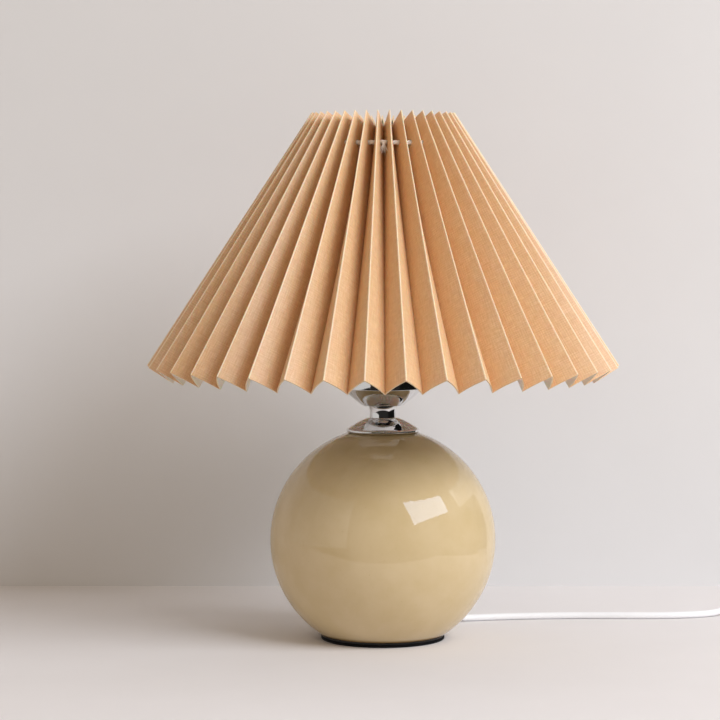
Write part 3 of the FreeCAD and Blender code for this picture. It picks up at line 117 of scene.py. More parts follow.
def between(tree, factor, low, high, start=0.0, end=1.0):
    """A number that goes from low to high as factor goes from start to end."""
    inputs = {"Value": factor, "From Min": start, "From Max": end, "To Min": low, "To Max": high}
    return add(tree, "MapRange", inputs).outputs[0]


def blend_colours(tree, factor, first, second):
    """A colour that goes from first to second as factor goes from 0 to 1."""
    mix = add(tree, "Mix", {"Factor": factor}, data_type="RGBA")
    for socket, value in (("A", first), ("B", second)):
        target = next(entry for entry in mix.inputs if entry.name == socket and entry.type == "RGBA")
        if isinstance(value, bpy.types.NodeSocket):
            tree.links.new(value, target)
        else:
            target.default_value = value
    return next(entry for entry in mix.outputs if entry.type == "RGBA")


def raise_surface(tree, shader, height, depth_mm):
    """Bump of a real depth on the shader's normal."""
    bump = add(tree, "Bump", {"Height": height, "Distance": depth_mm * MM, "Strength": 1.0})
    tree.links.new(bump.outputs[0], shader.inputs["Normal"])


def tint(tree, shader, factor, light, dark):
    """The shader's colour goes from one hex value to another as factor goes from 0 to 1."""
    tree.links.new(blend_colours(tree, factor, colour(light), colour(dark)), shader.inputs["Base Color"])


finish = {}


def mottled(name, slot, pattern, light, dark, rough=None, depth_mm=None, **constants):
    """A finish whose colour, and where given its roughness and bump, follow one pattern from 0 to 1."""
    material, tree, shader = new_finish(name, **constants)
    factor = pattern(tree)
    tint(tree, shader, factor, light, dark)
    if rough:
        tree.links.new(between(tree, factor, *rough), shader.inputs["Roughness"])
    if depth_mm:
        raise_surface(tree, shader, factor, depth_mm)
    finish[slot] = material
    return material


# Glazed earthenware: a thick cream glaze, dipped and fired to a wet gloss, a little uneven in tone. It runs
# thin and brown in a line round the foot
FOOT_LINE = (3.8 * MM, 5.6 * MM)
glaze, tree, shader = new_finish("glazed_earthenware", Roughness=0.03, IOR=1.52)
place = place_of(tree)
tone = grain(tree, place, 26, 4, 0.55)
speck = between(tree, grain(tree, place, 0.9, 1), 0, 1, 0.72, 0.80)
body_tone = blend_colours(tree, between(tree, tone, 0, 1, 0.35, 0.65), colour("#D5C098"), colour("#CFB98E"))
speckled = blend_colours(tree, between(tree, speck, 0, 0.35), body_tone, colour("#A98B5A"))
height = add(tree, "SeparateXYZ", {"Vector": place}).outputs["Z"]
foot_line = between(tree, height, 1, 0, *FOOT_LINE)
tree.links.new(blend_colours(tree, foot_line, speckled, colour("#9C7E52")), shader.inputs["Base Color"])
tree.links.new(between(tree, tone, 0.02, 0.04), shader.inputs["Roughness"])
raise_surface(tree, shader, grain(tree, place, 21, 1), 0.03)
finish["glaze"] = glaze

# Chrome plate on spun steel: a mirror with the faintest haze and fine wiping scratches
chrome, tree, shader = new_finish("chrome_plate", Metallic=1.0, Roughness=0.05)
place = place_of(tree)
haze = grain(tree, place, 7, 4)
tint(tree, shader, haze, "#E4E3E2", "#D9D9DA")
tree.links.new(between(tree, haze, 0.02, 0.06, 0.3, 0.7), shader.inputs["Roughness"])
raise_surface(tree, shader, grain(tree, place_of(tree, (1, 1, 18)), 9, 2), 0.003)
finish["chrome"] = chrome

# Nickel plate: warmer and a little duller than chrome, rubbed where it screws in
mottled("nickel_plate", "nickel", lambda tree: grain(tree, place_of(tree, (1, 1, 6)), 4, 4),
        "#C9C5BC", "#B4AFA4", (0.14, 0.32), 0.01, Metallic=1.0, Roughness=0.2)


def crystals(tree):
    """The distance to the nearest of scattered points about 1.6 mm apart."""
    return add(tree, "TexVoronoi", {"Vector": place_of(tree), "Scale": per(1.6)}).outputs["Distance"]


# Zinc-plated steel: grey with a crystalline, slightly mottled sheen
mottled("zinc_plated_steel", "zinc_steel", crystals, "#A9ABAC", "#8D8F91", (0.28, 0.45), 0.01,
        Metallic=1.0, Roughness=0.35)
# Bare brass, stamped: yellow, with darker tarnish in blotches
mottled("stamped_brass", "brass", lambda tree: grain(tree, place_of(tree), 3, 5),
        "#D3B161", "#9E8146", (0.2, 0.42), Metallic=1.0, Roughness=0.28)
# Porcelain: white, dense, with a thin clear glaze
mottled("glazed_porcelain", "porcelain", lambda tree: grain(tree, place_of(tree), 1.2, 3),
        "#EDEAE2", "#DDD9CF", None, 0.03, Roughness=0.15, IOR=1.52, Coat_Weight=0.3, Coat_Roughness=0.05)
# Cotton cord: bleached, soft, with a fuzzy rim
mottled("bleached_cotton", "gather_fibre", lambda tree: grain(tree, place_of(tree, (1, 1, 3)), 0.6, 4),
        "#FDFCFA", "#EFEDE9", None, 0.15, Roughness=0.9, Sheen_Weight=0.5, Sheen_Roughness=0.5)


def moulded(name, slot, light, dark, rough, size_mm, depth_mm, **constants):
    """A moulded or extruded plastic or rubber: one colour that drifts a little, with a fine moulded skin."""
    material, tree, shader = new_finish(name, Roughness=rough, **constants)
    place = place_of(tree)
    drift = grain(tree, place, 12, 2)
    tint(tree, shader, drift, light, dark)
    skin = grain(tree, place, size_mm, 3)
    tree.links.new(between(tree, skin, rough - 0.06, rough + 0.08), shader.inputs["Roughness"])
    raise_surface(tree, shader, skin, depth_mm)
    finish[slot] = material


# PVC sheath, extruded: white, slightly translucent, with a soft gloss
moulded("extruded_pvc_sheath", "cord_plastic", "#FAFBFD", "#F4F5F8", 0.32, 2.5, 0.015, IOR=1.53)
# ABS, moulded: white with a satin skin
moulded("moulded_abs", "switch_plastic", "#F3F3F2", "#ECECEB", 0.3, 0.8, 0.012, IOR=1.53)
# Foam rubber pad: matt, near black, open-pored
moulded("foam_rubber", "pad", "#0E0D0D", "#090808", 0.8, 0.7, 0.12, IOR=1.3)
# Polypropylene cover: black, satin
moulded("moulded_polypropylene", "cover", "#0F0E0E", "#0A0A0A", 0.45, 0.9, 0.03)
# Nitrile rubber gasket: dark grey and matt
moulded("nitrile_rubber", "gasket", "#33312F", "#262423", 0.75, 0.9, 0.04)
# Wire insulation: brown PVC
moulded("insulated_wire", "wire_sheath", "#6B4B36", "#5A3E2C", 0.4, 1.5, 0.02)
# Bulb's insulator: black glass, fused into the cap
moulded("fused_black_glass", "bulb_black", "#141418", "#0C0C10", 0.12, 1.5, 0.02)
# Bulb's housing: white heat-conducting plastic, matt
moulded("moulded_nylon", "bulb_white", "#EFEFEC", "#E7E7E3", 0.42, 0.6, 0.02)
# Powder coat on wire: white with a fine orange-peel skin
moulded("powder_coat", "white_wire", "#EBE9E4", "#E1DFD9", 0.38, 0.9, 0.05)
# Opal polycarbonate: milky, lit through a little, very smooth
moulded("opal_polycarbonate", "bulb_opal", "#F4F3EE", "#EEEDE7", 0.3, 2.0, 0.01, IOR=1.58,
        Subsurface_Weight=0.25, Subsurface_Radius=(0.004, 0.004, 0.0038))

# Shade paper: linen-look laminate. Threads are 0.4 mm apart on the real one, drawn 0.8 mm apart to show
THREAD_MM = 0.8
PANEL_MM, STRIP_MM = 20.4, 198.7
# Light that enters the paper spreads up to 1.2 mm in it, red furthest
THROUGH = {"Subsurface_Weight": 0.45, "Subsurface_Radius": (1.0, 0.5, 0.25), "Subsurface_Scale": 1.2 * MM}
paper, tree, shader = new_finish("linen_look_laminate", Roughness=0.5, IOR=1.65, **THROUGH)
strip = add(tree, "TexCoord").outputs["UV"]
across = add(tree, "SeparateXYZ", {"Vector": strip})
slub = grain(tree, add(tree, "Mapping", {"Vector": strip, "Scale": (1, 9, 1)}).outputs[0], 7, 5, 0.6)
slub_other = grain(tree, add(tree, "Mapping", {"Vector": strip, "Scale": (9, 1, 1)}).outputs[0], 7, 5, 0.6)
wave = {"Vector": strip, "Scale": per(THREAD_MM) / TAU, "Distortion": 0.6, "Detail": 2.0, "Detail Scale": 2.0}
warp = add(tree, "TexWave", wave, bands_direction="X").outputs["Fac"]
weft = add(tree, "TexWave", wave, bands_direction="Y").outputs["Fac"]
weave = add(tree, "Math", {0: warp, 1: weft}, operation="MAXIMUM").outputs[0]
threads = add(tree, "Math", {0: slub, 1: slub_other}, operation="MULTIPLY").outputs[0]
cloud = grain(tree, strip, 30, 3)
plain = blend_colours(tree, between(tree, cloud, 0, 1, 0.3, 0.7), colour("#F2D1A7"), colour("#EECA9D"))
threaded = blend_colours(tree, between(tree, threads, 0, 1, 0.14, 0.38), colour("#DCB385"), plain)
woven = blend_colours(tree, between(tree, weave, 0.22, 0), threaded, colour("#D7AB79"))
# Pale along each outer fold, most to 0.2 mm, not past 0.6 mm: worn print showing the paper, and a painted
# highlight
from_fold = add(tree, "Math", {0: across.outputs["X"], 1: PANEL_MM * MM}, operation="PINGPONG").outputs[0]
fold_wear_and_highlight = between(tree, from_fold, 0.55, 0, 0.2 * MM, 0.6 * MM)
tree.links.new(blend_colours(tree, fold_wear_and_highlight, woven, colour("#FFF3DA")), shader.inputs["Base Color"])
tree.links.new(between(tree, slub, 0.42, 0.56), shader.inputs["Roughness"])
raise_surface(tree, shader, add(tree, "Math", {0: weave, 1: threads}, operation="ADD").outputs[0], 0.05)
finish["shade_paper"] = paper

# The shade's lining: white PVC film, smooth, satin, its colour warmed a little as painted light that comes
# through the paper
lining = mottled("pvc_film_lining", "shade_lining", lambda tree: grain(tree, place_of(tree), 6, 3),
                 "#F2EADC", "#EAE0CF", None, 0.04, Roughness=0.42, IOR=1.52, **THROUGH)
# The cut edge of the laminate: pale and fibrous
cut_edge = mottled("cut_paper_edge", "shade_edge", lambda tree: grain(tree, place_of(tree), 0.5, 3),
                   "#EFDCC0", "#DCC09A", Roughness=0.85)

SLOTS = {node["node"]: node["material_slot"] for node in frame["record"]["subparts"]}
BODIES = {node: body for body, nodes in frame["record"]["behaviour"]["bodies"].items() for node in nodes}
FOOT, TOP = {}, {}
for node_name, slot in SLOTS.items():
    carried = frame["nodes"][node_name]
    carried.data.materials.clear()
    carried.data.materials.append(finish[slot])
    # Each solid's lowest and highest level, in millimetres to a hundredth
    levels = [corner[2] / MM for corner in carried.bound_box]
    FOOT[node_name], TOP[node_name] = round(min(levels), 2), round(max(levels), 2)


# Making pieces
SAME_PLACE = 1e-6


def placed(name, data, node_names, body=None, slot=None):
    """An object whose data lies in place, standing for CAD nodes, with the first one's body.

    A piece that stands for no node gives its body itself; the slot argument is not used.
    """
    thing = bpy.data.objects.new(name, data)
    bpy.context.scene.collection.objects.link(thing)
    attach(thing, body or BODIES[node_names[0]])
    if node_names:
        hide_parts(*node_names)
    return thing


def smoothed(mesh, sharp=35):
    """The mesh shaded smooth, but for edges that bend by more than an angle in degrees."""
    mesh.polygons.foreach_set("use_smooth", np.ones(len(mesh.polygons), dtype=bool))
    mesh.set_sharp_from_angle(angle=math.radians(sharp))
    return mesh


def bored(mesh, start, end, radius):
    """The mesh with a round hole cut through it from one point to another."""
    way = Vector(end) - Vector(start)
    turn = way.to_track_quat("Z", "Y").to_matrix().to_4x4()
    cutter = bpy.data.meshes.new("cutter")
    shape = bmesh.new()
    bmesh.ops.create_cone(shape, cap_ends=True, segments=48, radius1=radius, radius2=radius, depth=way.length)
    shape.transform(Matrix.Translation((Vector(start) + Vector(end)) / 2) @ turn)
    shape.to_mesh(cutter)
    shape.free()
    pair = [bpy.data.objects.new(data.name, data) for data in (mesh, cutter)]
    for thing in pair:
        bpy.context.scene.collection.objects.link(thing)
    cut = pair[0].modifiers.new("hole", "BOOLEAN")
    cut.operation = "DIFFERENCE"
    cut.solver = "EXACT"
    cut.object = pair[1]
    result = bpy.data.meshes.new_from_object(pair[0].evaluated_get(bpy.context.evaluated_depsgraph_get()))
    for thing in pair:
        bpy.data.objects.remove(thing)
    return result


def piece(name, points, faces, *node_names, sharp=35, parts=None, marks=None, coords=None, bore=None, **home):
    """A mesh object in metres from arrays of points and faces, joined where points meet.

    marks holds a material index per face, for the materials in parts, coords a UV pair per point, and bore
    the start, end and radius of a hole to cut. home holds body and slot where a piece stands for no node.
    """
    mesh = bpy.data.meshes.new(name)
    mesh.from_pydata(np.asarray(points).reshape(-1, 3).tolist(), [], [list(face) for face in faces])
    for material in parts or [finish[home["slot"] if home else SLOTS[node_names[0]]]]:
        mesh.materials.append(material)
    if marks is not None:
        mesh.polygons.foreach_set("material_index", np.asarray(marks, dtype=np.int32))
    if coords is not None:
        corner_points = np.zeros(len(mesh.loops), dtype=np.int64)
        mesh.loops.foreach_get("vertex_index", corner_points)
        layer = mesh.uv_layers.new(name="strip")
        layer.data.foreach_set("uv", np.asarray(coords)[corner_points].astype(np.float32).ravel())
    shape = bmesh.new()
    shape.from_mesh(mesh)
    bmesh.ops.remove_doubles(shape, verts=shape.verts, dist=SAME_PLACE)
    bmesh.ops.recalc_face_normals(shape, faces=shape.faces)
    shape.to_mesh(mesh)
    shape.free()
    if bore:
        mesh = bored(mesh, *bore)
    return placed(name, smoothed(mesh, sharp), node_names, **home)


def joined(parts):
    """Several parts as one set of points and faces: each is (points, faces) and counts its own points."""
    points, faces, count = [], [], 0
    for part_points, part_faces in parts:
        points.append(np.asarray(part_points).reshape(-1, 3))
        faces += [[count + corner for corner in face] for face in part_faces]
        count += len(points[-1])
    return np.concatenate(points), faces


def grid_faces(rows, columns, closed_rows=False, closed_columns=False):
    """Four-sided faces between neighbouring points of a grid, numbered row by row."""
    row = np.arange(rows if closed_rows else rows - 1)
    column = np.arange(columns if closed_columns else columns - 1)
    row, column = [part.ravel() for part in np.meshgrid(row, column, indexing="ij")]
    next_row, next_column = (row + 1) % rows, (column + 1) % columns
    corners = [row * columns + column, row * columns + next_column]
    corners += [next_row * columns + next_column, next_row * columns + column]
    return np.stack(corners, axis=1)


def bow(begin, end, radius, side, count=24):
    """Points on an arc from begin to end, begin left out: side is 1 if its centre is left of the way."""
    begin, end = np.array(begin, float), np.array(end, float)
    chord = end - begin
    length = np.hypot(*chord)
    left = np.array([-chord[1], chord[0]]) / length
    centre = (begin + end) / 2 + left * side * math.sqrt(max(radius**2 - length**2 / 4, 0))
    first = math.atan2(*(begin - centre)[::-1])
    sweep = (math.atan2(*(end - centre)[::-1]) - first) * side % TAU * side
    angles = first + sweep * np.arange(1, count + 1) / count
    return [tuple(centre + radius * np.array([math.cos(a), math.sin(a)])) for a in angles]


def eased(corners, steps=4):
    """An outline whose corners (across, up, radius) are rounded by arcs; one without a radius stays sharp."""
    outline = []
    for index, corner in enumerate(corners):
        here = np.array(corner[:2], float)
        radius = corner[2] if len(corner) > 2 else 0
        if not radius:
            outline.append(tuple(here))
            continue
        back = np.array(corners[index - 1][:2], float) - here
        on = np.array(corners[(index + 1) % len(corners)][:2], float) - here
        back, on = back / np.hypot(*back), on / np.hypot(*on)
        half = math.acos(np.clip(back @ on, -1, 1)) / 2
        reach = radius / math.tan(half)
        middle = here + (back + on) / np.hypot(*(back + on)) * radius / math.sin(half)
        first, last = here + back * reach - middle, here + on * reach - middle
        turn = math.acos(np.clip(first @ last / radius**2, -1, 1))
        for share in np.linspace(0, 1, steps + 1):
            way = math.sin((1 - share) * turn) * first + math.sin(share * turn) * last
            outline.append(tuple(middle + way / math.sin(turn)))
    return outline


def turned(name, node_name, *steps, segments=128, ease=4, radius_of=None, seat=None, **rest):
    """A closed outline (radius, height) in millimetres, swept round the lamp's axis or the matrix seat's.

    A step of the outline is a point, which may have a corner radius, or an arc (end, radius, side, count).
    Point (i, j) is at angle 2 pi j / segments, at the outline's radius and height i. radius_of may change
    the radius by angle and height, as for a thread or a row of grooves.
    """
    corners = []
    for step in steps:
        if isinstance(step[0], tuple):
            end, *bend = step
            corners += bow(corners[-1][:2], end[:2], *bend)[:-1]
            step = end
        corners.append(step)
    outline = np.array(eased(corners, ease))
    angle = TAU * np.arange(segments) / segments
    radius = np.repeat(outline[:, :1], segments, axis=1)
    height = np.repeat(outline[:, 1:], segments, axis=1)
    if radius_of:
        radius = radius_of(radius, height, np.broadcast_to(angle, radius.shape))
    points = np.stack([radius * np.cos(angle), radius * np.sin(angle), height], axis=2) * MM
    if seat is not None:
        points = points @ np.array(seat.to_3x3()).T + np.array(seat.translation)
    faces = grid_faces(len(outline), segments, closed_rows=True, closed_columns=True)
    return piece(name, points, faces, node_name, **rest)


def tube_points(path, radius, sides, closed=False):
    """A round tube along a path: rings of points square to it, kept from twisting by one steady direction."""
    path = np.asarray(path, float)
    if closed:
        way = np.roll(path, -1, axis=0) - np.roll(path, 1, axis=0)
    else:
        way = np.gradient(path, axis=0)
    way /= np.linalg.norm(way, axis=1)[:, None]
    steady = np.array([0.0, 0.0, 1.0]) if np.abs(way[:, 2]).max() < 0.9 else np.array([0.31, 0.95, 0.02])
    side = np.cross(way, steady)
    side /= np.linalg.norm(side, axis=1)[:, None]
    up = np.cross(side, way)
    angle = TAU * np.arange(sides) / sides
    radius = np.broadcast_to(np.asarray(radius, float), (len(path),))[:, None, None]
    round_off = side[:, None] * np.cos(angle)[None, :, None] + up[:, None] * np.sin(angle)[None, :, None]
    return path[:, None] + radius * round_off


def tube_faces(rings, sides, closed=False):
    """Faces of a tube, with flat ends where it is open."""
    faces = grid_faces(rings, sides, closed_rows=closed, closed_columns=True).tolist()
    if not closed:
        faces += [list(range(sides))[::-1], list(range((rings - 1) * sides, rings * sides))]
    return faces


def tubes(name, paths, node_name, sides):
    """Several tubes in one piece; each path is (points, radius, closed)."""
    parts = [(tube_points(path, radius, sides, closed), tube_faces(len(path), sides, closed))
             for path, radius, closed in paths]
    return piece(name, *joined(parts), node_name)


# Cords: the routes are those of the solids, with the coil's loops by the same formula
CORD_MM = 4.6
REST = 2.35
HOLE_WAY = np.array([0.526537, 0.627502, -0.573576])
BALL_CENTRE = np.array([0.0, 0.0, 65.8])
NOSE_END = 83.0
nose_end = BALL_CENTRE + HOLE_WAY * NOSE_END
LEAD = [(54.0, 63.0, 3.2), (60.0, 66.0, REST), (80.0, 71.0, REST), (106.0, 74.6, REST), (142.0, 77.4, REST),
        (182.0, 75.4, REST), (214.0, 78.4, REST), (236.0, 87.6, REST), (250.0, 93.0, 8.5), (264.0, 93.0, 8.5)]
lead_route = [tuple(nose_end), tuple(nose_end + HOLE_WAY * 6.7), (50.5, 60.2, 8.0)] + LEAD

COIL_CENTRE = np.array([409.6, 125.6, REST])
COIL_OUTER, COIL_PITCH, COIL_LAYERS, COIL_TURNS = 32.6, 5.1, 4, 7.5
COIL_STEPS = 30
TIE_THICK, TIE_GAP = 0.8, 0.1


def coil_points():
    """The coil's control points: the radius shrinks and grows by one pitch a turn, layer by layer.

    The height is steady along a layer and climbs one pitch round each reversal, slowly at first and at last.
    Where the tie passes under the coil, on its right, all loops lie a little higher, by a bell curve of the
    angle.
    """
    per_layer = COIL_TURNS / COIL_LAYERS
    climb = per_layer / 8
    turns = np.linspace(0, COIL_TURNS, COIL_STEPS * COIL_LAYERS + 1)
    layer = np.minimum((turns / per_layer + 1e-6).astype(int), COIL_LAYERS - 1)
    along = turns - layer * per_layer
    radius = COIL_OUTER - COIL_PITCH * np.where(layer % 2 == 0, along, per_layer - along)
    shares = [np.clip((turns - reversal * per_layer) / (2 * climb) + 0.5, 0, 1)
              for reversal in range(1, COIL_LAYERS)]
    height = COIL_PITCH * sum(share * share * (3 - 2 * share) for share in shares)
    angle = TAU * turns - math.pi / 2
    height = height + (TIE_THICK + TIE_GAP) * np.exp(-(np.sin(angle / 2) / 0.3) ** 2)
    return COIL_CENTRE + np.stack([radius * np.cos(angle), radius * np.sin(angle), height], axis=1)


TAIL = [(405.0, 158.2, 17.65), (392.5, 158.2, 17.65), (370.5, 158.2, 6.8), (358.0, 158.2, 6.8)]
tail_route = [(366.0, 93.0, 8.5), (378.5, 93.0, 8.5), (392.5, 93.0, REST), (405.0, 93.0, REST)]
tail_route += [tuple(point) for point in coil_points()[1:-1]] + TAIL


def cord_piece(name, route, *node_names):
    """A round cord on a smooth spline whose control points are the route, in millimetres."""
    line = bpy.data.curves.new(name, "CURVE")
    line.dimensions = "3D"
    spline = line.splines.new("NURBS")
    spline.points.add(len(route) - 1)
    spline.points.foreach_set("co", np.column_stack([np.array(route) * MM, np.ones(len(route))]).ravel())
    spline.order_u = 3
    spline.use_endpoint_u = True
    spline.resolution_u = 8
    line.bevel_depth = CORD_MM / 2 * MM
    line.bevel_resolution = 5
    line.use_fill_caps = True
    line.materials.append(finish[SLOTS[node_names[0]]])
    return placed(name, line, node_names)


mains_cord = cord_piece("mains_cord", lead_route, "cord_lead")
spare_cord = cord_piece("spare_cord", tail_route, "cord_link", "cord_coil", "cord_tail")


# Switch and plug: the solids' own shapes with the rounded edges of a moulding
def moulded_edges(name, node_name, width_mm, merge_flats=True):
    """The solid's mesh with its points joined, its flat faces merged and its sharp edges bevelled.

    Flat faces with a hole in them can't be merged, so a piece with screw holes keeps its triangles.
    """
    mesh = frame["nodes"][node_name].data.copy()
    shape = bmesh.new()
    shape.from_mesh(mesh)
    bmesh.ops.remove_doubles(shape, verts=shape.verts, dist=SAME_PLACE)
    if merge_flats:
        bmesh.ops.dissolve_limit(shape, angle_limit=math.radians(0.5), verts=shape.verts, edges=shape.edges)
    shape.to_mesh(mesh)
    shape.free()
    thing = placed(name, smoothed(mesh), [node_name])
    bevel = thing.modifiers.new("edges", "BEVEL")
    bevel.width = width_mm * MM
    bevel.segments = 4
    bevel.limit_method = "ANGLE"
    bevel.angle_limit = math.radians(40)
    bevel.harden_normals = True
    return thing


moulded_edges("switch_base_moulded", "switch_base", 0.3, merge_flats=False)
moulded_edges("rocker_moulded", "switch_rocker", 0.4)
moulded_edges("plug_moulded", "plug_body", 1.0)

SWITCH_SEAT = np.array([315, 93])
SPLIT, LID_TOP, LID_WALL = TOP["switch_base"], TOP["switch_cover"], 2.0
EDGE_IN, EDGE_DOWN, RIM, SEAM = 2.8, 3.4, 0.6, 0.3
WINDOW_HALF, SQUARENESS = np.array([9.9, 5.8]), 20
ENTRY_RADIUS, BESIDE_ENTRY = 4.25, np.array([4.9, 5.8])
WAIST_HALF, SIDE_RADIUS, CORNER_RADIUS = 14.0, 98.6, 3.0
CORNER_X, CORNER_Y = 28.0, 6.81


def switch_plan():
    """The switch's outline from above, as points with their outward normals, both around its centre.

    The sides are wide arcs, the corners small arcs tangent to side and end, and the ends straight lines. On
    an arc, point = centre + radius * normal. The outline set in by d is point - d * normal.
    """
    turn = math.asin(CORNER_X / (SIDE_RADIUS - CORNER_RADIUS))
    points, normals = [], []

    def arc(centre, radius, first, last, count):
        """Adds an arc's points, evenly spaced."""
        for angle in np.linspace(first, last, count):
            normals.append((math.cos(angle), math.sin(angle)))
            points.append(np.array(centre) + radius * np.array(normals[-1]))

    across = -ENTRY_RADIUS * np.cos(np.linspace(0, math.pi, 25))
    for way in (1, -1):
        start = (1 - way) * math.pi / 2
        side_from = start - math.pi / 2 - turn
        arc((0, (SIDE_RADIUS - WAIST_HALF) * way), SIDE_RADIUS, side_from, side_from + 2 * turn, 120)
        arc((CORNER_X * way, -CORNER_Y * way), CORNER_RADIUS, side_from + 2 * turn, start, 12)
        for y in np.concatenate([-BESIDE_ENTRY[::-1], across, BESIDE_ENTRY]):
            points.append(np.array([(CORNER_X + CORNER_RADIUS) * way, y * way]))
            normals.append((way, 0))
        arc((CORNER_X * way, CORNER_Y * way), CORNER_RADIUS, start, start + math.pi / 2 - turn, 12)
    return np.array(points), np.array(normals)


def switch_lid():
    """Rows of points round the cover: up its outside, over its top to the rocker's window and back inside.

    Its top edge is a quarter ellipse, set in by EDGE_IN (1 - cos t) and lowered by EDGE_DOWN (1 - sin t).
    The window is the curve |x / a|^20 + |y / b|^20 = 1 in the outline's own directions. Where a strain relief
    passes, the lower edge rises to a half circle round the cord.
    """
    plan, normals = switch_plan()
    at_end = (np.abs(plan[:, 0]) > CORNER_X + CORNER_RADIUS - 0.1) & (np.abs(plan[:, 1]) < ENTRY_RADIUS)
    lift = np.where(at_end, np.sqrt(np.maximum(ENTRY_RADIUS**2 - plan[:, 1] ** 2, 0)), 0)
    rows = []

    def row(flat, height):
        """Adds a row of points at one height, or each at its own."""
        rows.append(np.column_stack([flat + SWITCH_SEAT, np.broadcast_to(height, len(flat))]))

    def window(grow):
        """The window's outline, grown outwards."""
        reach = np.power(np.abs(plan / (WINDOW_HALF + grow)) ** SQUARENESS @ np.ones(2), 1 / SQUARENESS)
        return plan / reach[:, None]

    for inset, height in ((SEAM, 0), (SEAM * 0.3, SEAM * 0.3), (0, SEAM)):
        row(plan - normals * inset, SPLIT + lift + height)
    for t in np.linspace(0, math.pi / 2, 13):
        row(plan - normals * EDGE_IN * (1 - math.cos(t)), LID_TOP - EDGE_DOWN * (1 - math.sin(t)))
    shoulder, rim = plan - normals * EDGE_IN, window(RIM)
    for share in (0.25, 0.5, 0.75):
        row(shoulder + (rim - shoulder) * share, LID_TOP)
    for t in np.linspace(0, math.pi / 2, 6):
        row(window(RIM * (1 - math.sin(t))), LID_TOP - RIM * (1 - math.cos(t)))
    row(window(0), LID_TOP - LID_WALL)
    row(plan - normals * LID_WALL, LID_TOP - LID_WALL)
    row(plan - normals * LID_WALL, SPLIT + lift)
    return np.array(rows) * MM


lid = switch_lid()
lid_faces = grid_faces(*lid.shape[:2], closed_rows=True, closed_columns=True)
piece("switch_cover_moulded", lid, lid_faces, "switch_cover")

# Ball and foot
GLOBE_RADIUS, GLOBE_INSIDE = 75, 70
ROD_HOLE = 5.2
foot = FOOT["ceramic_globe"]
hole_ends = [tuple((BALL_CENTRE + HOLE_WAY * reach) * MM) for reach in (60, 90)]
turned("glazed_ball", "ceramic_globe",
       (41.61, foot), ((ROD_HOLE, TOP["ceramic_globe"]), GLOBE_RADIUS, 1, 150),
       (ROD_HOLE, 135.6), ((40.07, foot + 5), GLOBE_INSIDE, -1, 100), (33, foot + 5), (33, foot),
       segments=256, bore=(*hole_ends, 4.1 * MM))
top = TOP["foot_pad"]
turned("foot_pad_felt", "foot_pad", (0, 0), (41, 0, 0.35), (41, top, 0.5), (0, top))
under, top = FOOT["base_cover"], TOP["base_cover"]
turned("foot_cover", "base_cover", (0, under), (40.7, under, 0.3), (40.7, foot, 0.3), (32.7, foot),
       (32.7, top, 0.3), (31.1, top, 0.3), (31.1, foot), (0, foot))

# Chrome: flange, neck and cup, of sheet 0.8 mm thick where they are spun
SHEET = 0.8
LIP = 1.6
foot, top = FOOT["flange"], TOP["flange"]
rim = foot + LIP
turned("flange_spun", "flange",
       (ROD_HOLE, top - SHEET), (9.6, top - SHEET), ((21.9, rim), 60, -1), (22.7, foot),
       ((24.3, rim), LIP, 1, 10), ((23.1, rim + 1.55), LIP, 1, 8), ((10, top), 60, 1), (ROD_HOLE, top),
       segments=192)
foot, top = FOOT["neck"], TOP["neck"]
turned("neck_turned", "neck", (ROD_HOLE, foot), (8.7, foot), (8.6, foot + 3.54), ((9.7, top - 0.16), 11, -1),
       (9.4, top), (ROD_HOLE, top), segments=192)
foot, top = FOOT["cup"], TOP["cup"]
shoulder = top - 9
turned("cup_spun", "cup", (ROD_HOLE, foot), (12.6, foot), ((14.8, foot + 1.1), 3.5, 1, 10),
       ((26.5, shoulder, 0.5), 60, 1), (26.5, top, 0.35), (25.7, top, 0.35), (25.7, shoulder),
       ((14.32, foot + 1.58), 60, -1), (12.6, foot + SHEET), (ROD_HOLE, foot + SHEET), segments=192)

# Grommet: a tail that springs open behind the wall, a flange, and a nose with four grooves that let it bend
BORE, NOSE_FOOT, NOSE_WIDE, NOSE_TAPER = 2.32, 76.7, 4.8, 1.5
grommet = [(BORE, 60.81), (3.3, 60.81, 0.3), (5.2, 68.31, 0.3), (5.2, 69.81, 0.2), (4.0, 69.81), (4.0, 74.89)]
grommet += [(6.4, 74.89, 0.3), (6.4, 76.5, 0.5), (NOSE_WIDE, NOSE_FOOT, 0.2)]
for groove in range(4):
    foot = 77.4 + 1.35 * groove
    wide = NOSE_WIDE - NOSE_TAPER * (foot - NOSE_FOOT) / 6.3
    grommet += [(wide, foot, 0.1), (wide - 0.8, foot + 0.1, 0.1)]
    grommet += [(wide - 0.85, foot + 0.6, 0.1), (wide - 0.2, foot + 0.7, 0.1)]
grommet += [(3.3, NOSE_END, 0.4), (BORE, NOSE_END)]
hole_turn = Vector(HOLE_WAY).to_track_quat("Z", "Y").to_matrix().to_4x4()
hole_seat = Matrix.Translation(BALL_CENTRE * MM) @ hole_turn
turned("grommet_ribbed", "cord_grommet", *grommet, segments=64, ease=3, seat=hole_seat)


# Lampholder: a spun cap, and a shell with a rolled thread for the shade rings
def threaded(pitch, depth, low, high, beyond):
    """A radius rule for a round thread between two heights, on the outline beyond a radius."""
    def rule(radius, height, angle):
        """The radius with the thread's cosine groove, faded in and out over one pitch."""
        turn = height / pitch - angle / TAU
        fade = np.clip((height - low) / pitch, 0, 1) * np.clip((high - height) / pitch, 0, 1)
        return radius - np.where(radius > beyond, depth * fade * (0.5 - 0.5 * np.cos(TAU * turn)), 0)
    return rule


